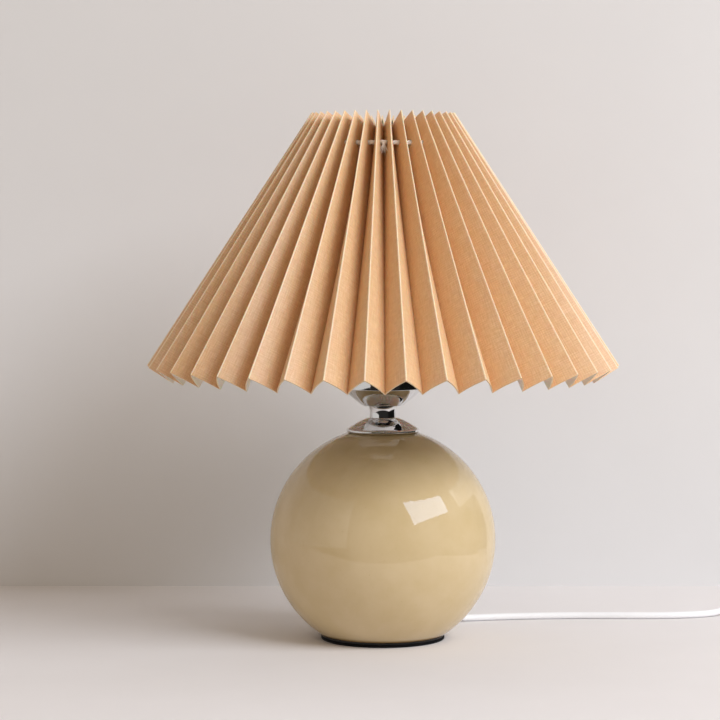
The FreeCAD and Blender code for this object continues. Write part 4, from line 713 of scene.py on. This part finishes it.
foot, top = FOOT["holder_cap"], TOP["holder_cap"]
bend = foot + 10.4
turned("holder_cap_spun", "holder_cap", (5, foot), (9, foot), (9, foot + 1.6), ((21, bend), 13, 1),
       (21, top, 0.4), (19.8, top, 0.2), (19.8, bend), ((9, foot + 2.8), 13, -1),
       (7.8, foot + 9, 0.2), (5, foot + 9, 0.2), segments=160)
collar_foot, collar_top = top, FOOT["lower_shade_ring"]
foot, top = FOOT["holder_shell"], TOP["holder_shell"]
rise = [(19.4, level) for level in np.arange(collar_top, top - 0.2, 0.2)]
turned("holder_shell_threaded", "holder_shell", (18.2, foot), (19.4, foot), (19.4, collar_foot),
       (21, collar_foot, 0.3), (21, collar_top, 0.4), *rise, (19.2, top, 0.2), (17.2, top, 0.2),
       (17.2, top - 1.2), (18.2, top - 1.2),
       radius_of=threaded(pitch=2.6, depth=0.5, low=187, high=213, beyond=19.35))


# Shade rings: twenty finger grooves round the rim, and an eased edge
GROOVES, GROOVE_CENTRE, GROOVE_RADIUS = 20, 27.9, 1.8
RING_RADIUS, RING_INSIDE, RING_EASE = 27, 19.7, 0.5


def fluted(radius, height, angle):
    """The outline's radius, cut back where a groove's circle, centred outside the rim, reaches further in."""
    half = math.pi / GROOVES
    off = (angle + half) % (2 * half) - half
    root = GROOVE_RADIUS ** 2 - (GROOVE_CENTRE * np.sin(off)) ** 2
    groove = GROOVE_CENTRE * np.cos(off) - np.sqrt(np.clip(root, 0, None))
    eased_by = RING_RADIUS - np.clip(radius, RING_RADIUS - RING_EASE, RING_RADIUS)
    return np.where(root > 0, np.minimum(radius, groove - eased_by), radius)


for name, node_name in (("lower_ring_fluted", "lower_shade_ring"), ("upper_ring_fluted", "upper_shade_ring")):
    foot, top = FOOT[node_name], TOP[node_name]
    turned(name, node_name, (RING_INSIDE, foot, 0.3), (RING_RADIUS, foot, RING_EASE),
           (RING_RADIUS, top, RING_EASE), (RING_INSIDE, top, 0.3),
           segments=480, ease=6, radius_of=fluted, sharp=40)

# Shade frame: a pressed fitter and round wire, welded
foot, top = FOOT["shade_fitter"], TOP["shade_fitter"]
turned("fitter_disc", "shade_fitter", (RING_INSIDE, foot, 0.2), (28.6, foot, 0.4), (28.6, top, 0.4),
       (RING_INSIDE, top, 0.2), segments=160)
disc_middle = (foot + top) / 2
ARM_START, LOW_RING, TOP_RING = (28.4, disc_middle), (126.49, disc_middle), (40.46, 318.03)
WIRE = 1.5 * MM


def level_circle(radius, level, count=240):
    """Points evenly round a level circle about the lamp's axis."""
    angle = TAU * np.arange(count) / count
    return np.stack([radius * np.cos(angle), radius * np.sin(angle), np.full(count, level)], axis=1) * MM


def spoke(begin, end, azimuth):
    """Points in a row from one (radius, level) to another in the upright plane at an azimuth."""
    radius, level = [np.linspace(begin[axis], end[axis], 9) for axis in (0, 1)]
    return np.stack([radius * math.cos(azimuth), radius * math.sin(azimuth), level], axis=1) * MM


corners = [math.pi / 4 + number * math.pi / 2 for number in range(4)]
for name, node_name, paths, closed in (
    ("lower_ring_wire", "lower_frame_ring", [level_circle(*LOW_RING)], True),
    ("top_ring_wire", "top_frame_ring", [level_circle(*TOP_RING, 120)], True),
    ("arm_wires", "spider_arms", [spoke(ARM_START, LOW_RING, azimuth) for azimuth in corners], False),
    ("leg_wires", "frame_legs", [spoke(LOW_RING, TOP_RING, azimuth) for azimuth in corners], False),
):
    tubes(name, [(path, WIRE, closed) for path in paths], node_name, sides=20)

# Bulb: a rolled cap, a moulded housing and an opal globe
foot, housing_foot, opal_foot = FOOT["bulb_cap"], TOP["bulb_cap"], TOP["bulb_housing"]
rise = [(13.2, level) for level in np.arange(foot + 0.5, housing_foot - 0.26, 0.3)]
turned("bulb_cap_rolled", "bulb_cap", (12.2, foot), *rise, (13.2, housing_foot), (12.7, housing_foot),
       (12.7, foot + 1), segments=96,
       radius_of=threaded(pitch=3.63, depth=0.7, low=187.5, high=206.5, beyond=13.15))
turned("bulb_housing_moulded", "bulb_housing", (0, foot), (11.7, foot), (12.6, foot + 1.5),
       (12.6, housing_foot), (14.2, housing_foot, 0.5), (15.4, housing_foot + 2.4, 2),
       (20.4, opal_foot - 0.3, 0.6), (20.1, opal_foot), (0, opal_foot), ease=6)
turned("bulb_globe_opal", "bulb_globe", (20.396, opal_foot), ((0, opal_foot + 32), 22.5, 1, 48),
       (0, opal_foot + 30.8), ((19.2, opal_foot), 21.3, -1, 48))

# Shade: one strip of laminate, folded to and fro round the frame
PLEATS = 39
HALF_PAPER = 0.4
RIDGE = ((46.9, TOP["pleated_shade"]), (155.7, 181.96))
VALLEY = ((30.05, 337.2), (142.02, 172.7))
GATHER_RADIUS, GATHER_LEVEL, GATHER_HOLE = 48.4, 327.7, 1.9
BULGE = 0.9
ARC_STEPS = 7
# The hole's middle on a panel: its shares of the width and the length, and its row and column in the grid
HOLE_WIDE, HOLE_DEEP = 0.5, 0.0905
HOLE_ROW = HOLE_COLUMN = 3
PANEL_COLUMNS = 7


def unit(vectors):
    """The vectors divided by their lengths."""
    return vectors / np.linalg.norm(vectors, axis=-1, keepdims=True)


def fold_line(ends, azimuth, along):
    """Points of a straight fold at an azimuth: along runs from 0 at the top end to 1 at the bottom end."""
    (top_radius, top_level), (low_radius, low_level) = ends
    radius = top_radius + (low_radius - top_radius) * along
    level = top_level + (low_level - top_level) * along
    return np.stack([radius * np.cos(azimuth), radius * np.sin(azimuth), level + 0 * azimuth], axis=-1)


def fan(first, last, steps):
    """Directions that turn evenly from first to last."""
    angle = np.arccos(np.clip((first * last).sum(-1), -1, 1))[..., None]
    share = np.linspace(0, 1, steps)[:, None]
    first, last, angle = first[..., None, :], last[..., None, :], angle[..., None, :]
    return (np.sin((1 - share) * angle) * first + np.sin(share * angle) * last) / np.sin(angle)


def pleated_strip():
    """The strip's rows, and for both kinds of panel its folds' azimuths, its side and its grid's shares.

    A panel is the straight-ruled surface between a ridge and a valley, bowed by a sine of up to BULGE. Each
    face lies half the paper's thickness off it: it goes round a fold in an arc on the outer side of the bend
    and meets itself in a crease on the inner side. Where the gather cord passes, a two-by-two block of the
    grid is drawn to an eight-sided rim, its faces are left out, and a wall joins the two rims.
    """
    half = math.pi / PLEATS
    ridge_turn = math.pi / 2 + 2 * half * np.arange(PLEATS)
    ends = {"A": (ridge_turn, ridge_turn + half), "B": (ridge_turn + 2 * half, ridge_turn + half)}
    wide, deep = GATHER_HOLE / PANEL_MM, GATHER_HOLE / STRIP_MM
    rows = np.array([0, 0.04, HOLE_DEEP - deep, HOLE_DEEP, HOLE_DEEP + deep] + list(np.linspace(0.16, 1, 13)))
    columns = np.array([0.15, 0.28, HOLE_WIDE - wide, HOLE_WIDE, HOLE_WIDE + wide, 0.72, 0.85])
    along = rows[:, None, None]
    strips = {}
    for panel in "AB":
        ridge_at, valley_at = ends[panel]
        sign = 1 if panel == "A" else -1
        crossing = gather_crossing(ridge_at, valley_at)
        share = columns[None, None, :] + (crossing[0] - HOLE_WIDE)[None, :, None] * np.sin(columns * math.pi)
        fade = np.exp(-((rows - HOLE_DEEP) / 0.05) ** 2)[:, None, None]
        down = along + (crossing[1] - HOLE_DEEP)[None, :, None] * fade
        down = np.broadcast_to(down, (len(rows), PLEATS, len(columns))).copy()
        share = np.broadcast_to(share, down.shape).copy()
        for row_step in (-1, 1):
            for column_step in (-1, 1):
                row, column = HOLE_ROW + row_step, HOLE_COLUMN + column_step
                share[row, :, column] = crossing[0] + column_step * wide * math.sqrt(0.5)
                down[row, :, column] = crossing[1] + row_step * deep * math.sqrt(0.5)
        strips[panel] = (ridge_at, valley_at, sign, share, down)
    return rows, strips


def gather_crossing(ridge_at, valley_at):
    """Shares of the panel's width and length where the gather cord's circle passes, found step by step."""
    share, down = np.full(len(ridge_at), 0.5), np.full(len(ridge_at), 0.09)
    for _ in range(12):
        point, wide, deep = panel_point(ridge_at, valley_at, share, down)
        radius = np.hypot(point[:, 0], point[:, 1])
        miss = np.stack([radius - GATHER_RADIUS, point[:, 2] - GATHER_LEVEL], axis=1)
        flat = point[:, :2] / radius[:, None]
        slope = np.stack([
            np.stack([(wide[:, :2] * flat).sum(1), (deep[:, :2] * flat).sum(1)], axis=1),
            np.stack([wide[:, 2], deep[:, 2]], axis=1),
        ], axis=1)
        step = np.linalg.solve(slope, miss[:, :, None])[:, :, 0]
        share, down = share - step[:, 0], down - step[:, 1]
    return share, down


def panel_point(ridge_at, valley_at, share, down):
    """A panel's point at shares of its width and length, and how it moves with each of the two."""
    ridge, valley = fold_line(RIDGE, ridge_at, down), fold_line(VALLEY, valley_at, down)
    ridge_way = fold_line(RIDGE, ridge_at, down + 1) - ridge
    valley_way = fold_line(VALLEY, valley_at, down + 1) - valley
    share = np.asarray(share)[..., None]
    return ridge + (valley - ridge) * share, valley - ridge, ridge_way + (valley_way - ridge_way) * share


def panel_faces(strip, offset):
    """The grid points of a panel's face at an offset from its middle: outer if above 0, inner if below."""
    ridge_at, valley_at, sign, share, down = strip
    point, wide, deep = panel_point(ridge_at[None, :, None], valley_at[None, :, None], share, down)
    normal = unit(np.cross(deep, wide)) * sign
    bulge = BULGE * down * np.sin(share * math.pi)
    return point + normal * (offset + bulge)[..., None]


def shade_grid():
    """Outer and inner grids of the whole strip, and each point's place on the flat strip in millimetres."""
    rows, strips = pleated_strip()
    half = math.pi / PLEATS
    ridge_at = strips["A"][0]
    down = np.broadcast_to(rows[:, None], (len(rows), PLEATS))
    normals = {}
    for panel in "AB":
        ridges, valleys, sign = strips[panel][:3]
        for fold, share in (("ridge", 0.0), ("valley", 1.0)):
            _, wide, deep = panel_point(ridges[None, :], valleys[None, :], np.full(down.shape, share), down)
            normals[panel + fold] = unit(np.cross(deep, wide)) * sign
    faces = {}
    for face, offset in (("outer", HALF_PAPER), ("inner", -HALF_PAPER)):
        blocks = []
        for fold in ("ridge", "valley"):
            ends, azimuth = (RIDGE, ridge_at) if fold == "ridge" else (VALLEY, ridge_at + half)
            place = fold_line(ends, azimuth[None, :], down)
            before = np.roll(normals["Bridge"], 1, axis=1) if fold == "ridge" else normals["Avalley"]
            after = normals["Aridge"] if fold == "ridge" else normals["Bvalley"]
            if (fold == "ridge") == (face == "outer"):
                block = place[:, :, None] + offset * fan(before, after, ARC_STEPS)
            else:
                middle = unit(before + after)
                crease = place + middle * offset / (middle * after).sum(-1, keepdims=True)
                block = np.repeat(crease[:, :, None], ARC_STEPS, axis=2)
            panel = panel_faces(strips["A" if fold == "ridge" else "B"], offset)
            blocks += [block, panel if fold == "ridge" else panel[:, :, ::-1]]
        faces[face] = np.concatenate(blocks, axis=2)
    share_a, share_b = strips["A"][3], strips["B"][3][:, :, ::-1]
    ridge_column, valley_column = (np.full((len(rows), PLEATS, ARC_STEPS), at) for at in (0.0, 1.0))
    place_along = np.concatenate([ridge_column, share_a, valley_column, 2 - share_b], axis=2)
    place_along = (place_along + 2 * np.arange(PLEATS)[None, :, None]) * PANEL_MM
    deep_a, deep_b = strips["A"][4], strips["B"][4][:, :, ::-1]
    fold_down = np.broadcast_to(rows[:, None, None], (len(rows), PLEATS, ARC_STEPS))
    place_down = np.concatenate([fold_down, deep_a, fold_down, deep_b], axis=2) * STRIP_MM
    return faces["outer"], faces["inner"], place_along, place_down


def fold_shade():
    """The shade: the outer face's grid, then the inner's, and walls along both ends and round each hole."""
    outer, inner, place_along, place_down = shade_grid()
    rows, columns = outer.shape[0], outer.shape[1] * outer.shape[2]
    per_pleat = outer.shape[2]
    flat = grid_faces(rows, columns, closed_columns=True)
    # The four faces round each hole are left out
    hole_columns = np.array([ARC_STEPS, 2 * ARC_STEPS + PANEL_COLUMNS]) + HOLE_COLUMN
    hole_columns = (hole_columns[None, :] + per_pleat * np.arange(PLEATS)[:, None]).ravel()
    face_row, face_column = np.divmod(np.arange(len(flat)), columns)
    near_row = (face_row == HOLE_ROW - 1) | (face_row == HOLE_ROW)
    near_column = np.isin(face_column, hole_columns) | np.isin(face_column, hole_columns - 1)
    flat = flat[~(near_row & near_column)]
    count = rows * columns
    steps = np.array([(-1, -1), (-1, 0), (-1, 1), (0, 1), (1, 1), (1, 0), (1, -1), (0, -1)])
    rim = (HOLE_ROW + steps[:, 0])[None, :] * columns + hole_columns[:, None] + steps[:, 1][None, :]
    rim_next = np.roll(rim, -1, axis=1)
    wall = np.stack([rim, rim_next, rim_next + count, rim + count], axis=2).reshape(-1, 4)
    column = np.arange(columns)
    next_column = (column + 1) % columns
    last = (rows - 1) * columns
    end_wall = np.stack([column, next_column, next_column + count, column + count], axis=1)
    faces = np.concatenate([flat, flat[:, ::-1] + count, end_wall, end_wall + last, wall])
    marks = np.concatenate([np.zeros(len(flat)), np.ones(len(flat)), np.full(2 * columns + len(wall), 2)])
    points = np.concatenate([outer.reshape(-1, 3), inner.reshape(-1, 3)]) * MM
    strip_place = np.stack([place_along.ravel(), place_down.ravel()], axis=1) * MM
    coords = np.concatenate([strip_place, strip_place])
    return piece("pleated_laminate", points, faces, "pleated_shade", sharp=33,
                 parts=[paper, lining, cut_edge], marks=marks, coords=coords)


fold_shade()

# Gather cord: three strands laid up, threaded through every panel and knotted at the front, its ends frayed
LAY_RADIUS, STRAND, KNOT_STRAND = 0.72, 0.78 * MM, 0.75 * MM


def laid_ring(count, lay_turns, steps):
    """Strand k winds round the ring's circle at lay_turns * t + 2 pi k / count, LAY_RADIUS away from it."""
    turn = TAU * np.arange(steps) / steps
    for strand in range(count):
        wind = lay_turns * turn + TAU * strand / count
        radius = GATHER_RADIUS + LAY_RADIUS * np.cos(wind)
        level = GATHER_LEVEL + LAY_RADIUS * np.sin(wind)
        yield np.stack([radius * np.cos(turn), radius * np.sin(turn), level], axis=1)


def overhand_knot(middle, size, steps=72):
    """A closed trefoil that faces the front: (sin t + 2 sin 2t, -sin 3t, cos t - 2 cos 2t), scaled."""
    t = TAU * np.arange(steps) / steps
    across, deep, up = np.sin(t) + 2 * np.sin(2 * t), -np.sin(3 * t), np.cos(t) - 2 * np.cos(2 * t)
    return middle + size * np.stack([across, deep, up], axis=1)


def frayed_end(start, way, side, fibres, length, steps=12):
    """Fibres that leave the knot together and part: each swings sideways by a power of its way along."""
    along = np.linspace(0, 1, steps)[:, None]
    outward = np.cross(way, side)
    for fibre in range(fibres):
        turn = TAU * fibre / fibres + 0.7
        splay = side * math.cos(turn) + outward * math.sin(turn)
        reach = length * (0.62 + 0.38 * math.cos(2.3 * fibre) ** 2)
        curl = 0.25 * np.sin(along * 5 + fibre) * along
        yield start + way * along * reach + splay * (0.22 + 1.5 * along ** 2.2) + side * curl


knot_middle = np.array([0, -50.9, GATHER_LEVEL])
cord_paths = [(path * MM, STRAND, True) for path in laid_ring(count=3, lay_turns=33, steps=720)]
cord_paths.append((overhand_knot(knot_middle, 0.38) * MM, KNOT_STRAND, True))
SLOPE = math.radians(33.2)
for swing in (-1, 1):
    azimuth = -math.pi / 2 + swing * math.pi / 8
    across, deep = math.sin(SLOPE) * math.cos(azimuth), math.sin(SLOPE) * math.sin(azimuth)
    way = np.array([across, deep, -math.cos(SLOPE)])
    side = np.array([math.cos(azimuth + math.pi / 2), math.sin(azimuth + math.pi / 2), 0])
    thin = np.linspace(0.22, 0.07, 12) * MM
    fray = frayed_end(knot_middle, way, side, fibres=7, length=9.0)
    cord_paths += [(path * MM, thin, False) for path in fray]
tubes("gather_cord_laid", cord_paths, "gather_cord", sides=8)

# Coil tie: a flat wire tie round all the loops on the coil's right, its two ends twisted together
TIE_TOP = REST + (COIL_LAYERS - 1) * COIL_PITCH + CORD_MM / 2 + TIE_THICK + 0.55
TIE_SECTION = np.array([(-2, -0.15), (-0.6, -0.18), (0, -0.38), (0.6, -0.18), (2, -0.15),
                        (2, 0.15), (0.6, 0.18), (0, 0.38), (-0.6, 0.18), (-2, 0.15)])


def tie_band():
    """The tie's cross-section, a thin strip with a wire's ridge along its middle, carried round the loops.

    Its way is a rounded box. Point (i, j) lies at way point i, section point j across and out from it.
    """
    low, near, far = 0.45, COIL_OUTER - 2 * COIL_PITCH - 2.9, COIL_OUTER + 2.9
    box = np.array(eased([(far, low, 3), (far, TIE_TOP, 3), (near, TIE_TOP, 3), (near, low, 3)], 8))
    box = np.concatenate([box, box[:1]])
    step = np.roll(box, -1, axis=0) - np.roll(box, 1, axis=0)
    step[0] = step[-1] = box[1] - box[-2]
    out = np.stack([step[:, 1], -step[:, 0]], axis=1) / np.linalg.norm(step, axis=1)[:, None]
    across, lift = TIE_SECTION.T
    flat = box[:-1, None, :] + out[:-1, None, :] * lift[None, :, None]
    return np.stack([flat[:, :, 0], np.broadcast_to(across, flat.shape[:2]), flat[:, :, 1]], axis=2)


band = tie_band()
tie_parts = [(band, grid_faces(*band.shape[:2], closed_rows=True, closed_columns=True).tolist())]
turns = np.linspace(0, 1, 49)
for half_turn in (0, math.pi):
    wind = TAU * 2.5 * turns + half_turn
    spread = 0.55 + 1.6 * np.clip((turns - 0.8) / 0.2, 0, 1) ** 2
    middle = np.array([COIL_OUTER - 3.5, 0, TIE_TOP + 0.5])
    rise = 1.2 + 0.4 * turns + spread * np.sin(wind)
    end_path = middle + np.stack([-13 * turns, spread * np.cos(wind), rise], axis=1)
    tie_parts.append((tube_points(end_path, 0.5, 8), tube_faces(len(end_path), 8)))
tie_points, tie_faces = joined(tie_parts)
piece("coil_tie", (tie_points + COIL_CENTRE * (1, 1, 0)) * MM, tie_faces, body="base", slot="switch_plastic")

# The names of the switch's pieces on the cord
switch_pieces = ["switch_base_moulded", "switch_cover_moulded", "rocker_moulded", "rocker_pin"]
switch_pieces += ["switch_contacts", "switch_screws", "switch_sleeve_in", "switch_sleeve_out"]

# Stage: a pale table by a wall, lit by a softbox high on the right. In the chrome, the room in front is dark
WALL_Y = 0.228
TABLE_FRONT = -0.275


def stage_plane(name, corners, material):
    """A flat four-sided piece of the room."""
    mesh = bpy.data.meshes.new(name)
    mesh.from_pydata(corners, [], [(0, 1, 2, 3)])
    mesh.materials.append(material)
    thing = bpy.data.objects.new(name, mesh)
    bpy.context.scene.collection.objects.link(thing)
    return thing


def glow(name, code, strength):
    """A material that only gives light."""
    material = bpy.data.materials.new(name)
    material.use_nodes = True
    tree = material.node_tree
    tree.nodes.clear()
    light = add(tree, "Emission", {"Color": colour(code), "Strength": strength})
    add(tree, "OutputMaterial", {"Surface": light.outputs[0]})
    return material


def one_sided_paint(name, light, dark, rough, size_mm):
    """A paint that the camera looks through from behind, so that no view of the lamp is blocked."""
    material, tree, shader = new_finish(name, Roughness=rough, Specular_IOR_Level=0)
    cloudy = grain(tree, place_of(tree), size_mm, 4)
    tint(tree, shader, cloudy, light, dark)
    behind = add(tree, "NewGeometry").outputs["Backfacing"]
    seen = add(tree, "LightPath").outputs["Is Camera Ray"]
    hidden = add(tree, "Math", {0: behind, 1: seen}, operation="MULTIPLY").outputs[0]
    clear = add(tree, "BsdfTransparent")
    mixed = add(tree, "MixShader", {0: hidden, 1: shader.outputs[0], 2: clear.outputs[0]})
    output = next(node for node in tree.nodes if node.type == "OUTPUT_MATERIAL")
    tree.links.new(mixed.outputs[0], output.inputs["Surface"])
    return material


STAGE_HALF, WALL_TOP = 3, 2.6


def stage_ends(low, high):
    """The corners of a plane as wide as the stage, from one depth or height to another."""
    return [(-STAGE_HALF, low), (STAGE_HALF, low), (STAGE_HALF, high), (-STAGE_HALF, high)]


table_paint = one_sided_paint("painted_table", "#E9E6E6", "#E5E2E2", 0.5, 60)
stage_plane("table_top", [(x, y, 0) for x, y in stage_ends(TABLE_FRONT, WALL_Y)], table_paint)
wall_paint = one_sided_paint("painted_wall", "#E3E3E4", "#DFDFE0", 0.8, 90)
stage_plane("wall", [(x, WALL_Y, z) for x, z in stage_ends(0, WALL_TOP)], wall_paint)


def side_card(name, x, front, top, code, strength):
    """An upright glowing card that stands along the lamp's side, from the wall to the front."""
    corners = [(x, WALL_Y, 0), (x, front, 0), (x, front, top), (x, WALL_Y, top)]
    return stage_plane(name, corners, glow(name, code, strength))


# The pale side of the room, and the dark side opposite it, low enough to leave the softbox in view
pale_side = side_card("pale_side", -1.1, -1.5, 1.8, "#F2F0EC", 0.8)
dark_side = side_card("dark_side", 0.36, -0.33, 0.22, "#8A8782", 0.03)

# The softbox: a bright sheet for the shiny surfaces and, further out the same way, a light for the matt ones
FURTHER, KEY_WATTS = 1.5, 59
SOFTBOX = np.array([(0.652, -1.385, 1.459), (2.597, -0.539, 2.122),
                    (2.914, -0.699, 1.389), (0.970, -1.545, 0.726)])
sheet_glow = glow("softbox_sheet", "#CFE2FF", 6.5)
sheet = stage_plane("softbox_sheet", [tuple(corner) for corner in SOFTBOX], sheet_glow)
# Only shiny surfaces show these three
for card in (pale_side, dark_side, sheet):
    card.visible_camera = False
    card.visible_diffuse = False
    card.visible_shadow = False
light = bpy.data.lights.new("softbox", "AREA")
light.shape = "RECTANGLE"
sides = [FURTHER * float(np.linalg.norm(SOFTBOX[corner] - SOFTBOX[0])) for corner in (1, 3)]
light.size, light.size_y = sides
light.energy = KEY_WATTS * FURTHER ** 2
light.color = colour("#F4F8FF")[:3]
softbox = bpy.data.objects.new("softbox", light)
across, up = (Vector(SOFTBOX[0] - SOFTBOX[corner]).normalized() for corner in (1, 3))
softbox.matrix_world = Matrix((-across, up, up.cross(across))).transposed().to_4x4()
softbox.location = SOFTBOX.mean(axis=0) * FURTHER
softbox.visible_glossy = False
bpy.context.scene.collection.objects.link(softbox)
# The room's soft light, dark where shiny surfaces mirror it and pale where the camera sees it
world = bpy.data.worlds.new("room")
world.use_nodes = True
bpy.context.scene.world = world
room = world.node_tree
room.nodes.clear()
ray = add(room, "LightPath").outputs
open_room = add(room, "Background", {"Color": colour("#EAD9C6"), "Strength": 0.58}).outputs[0]
dark_room = add(room, "Background", {"Color": colour("#8A8782"), "Strength": 0.1}).outputs[0]
pale_room = add(room, "Background", {"Color": colour("#DAD6D4"), "Strength": 1.0}).outputs[0]
sky = add(room, "MixShader", {0: ray["Is Glossy Ray"], 1: open_room, 2: dark_room}).outputs[0]
seen_sky = add(room, "MixShader", {0: ray["Is Camera Ray"], 1: sky, 2: pale_room}).outputs[0]
add(room, "OutputWorld", {"Surface": seen_sky})
bpy.context.scene.view_settings.view_transform = "Standard"
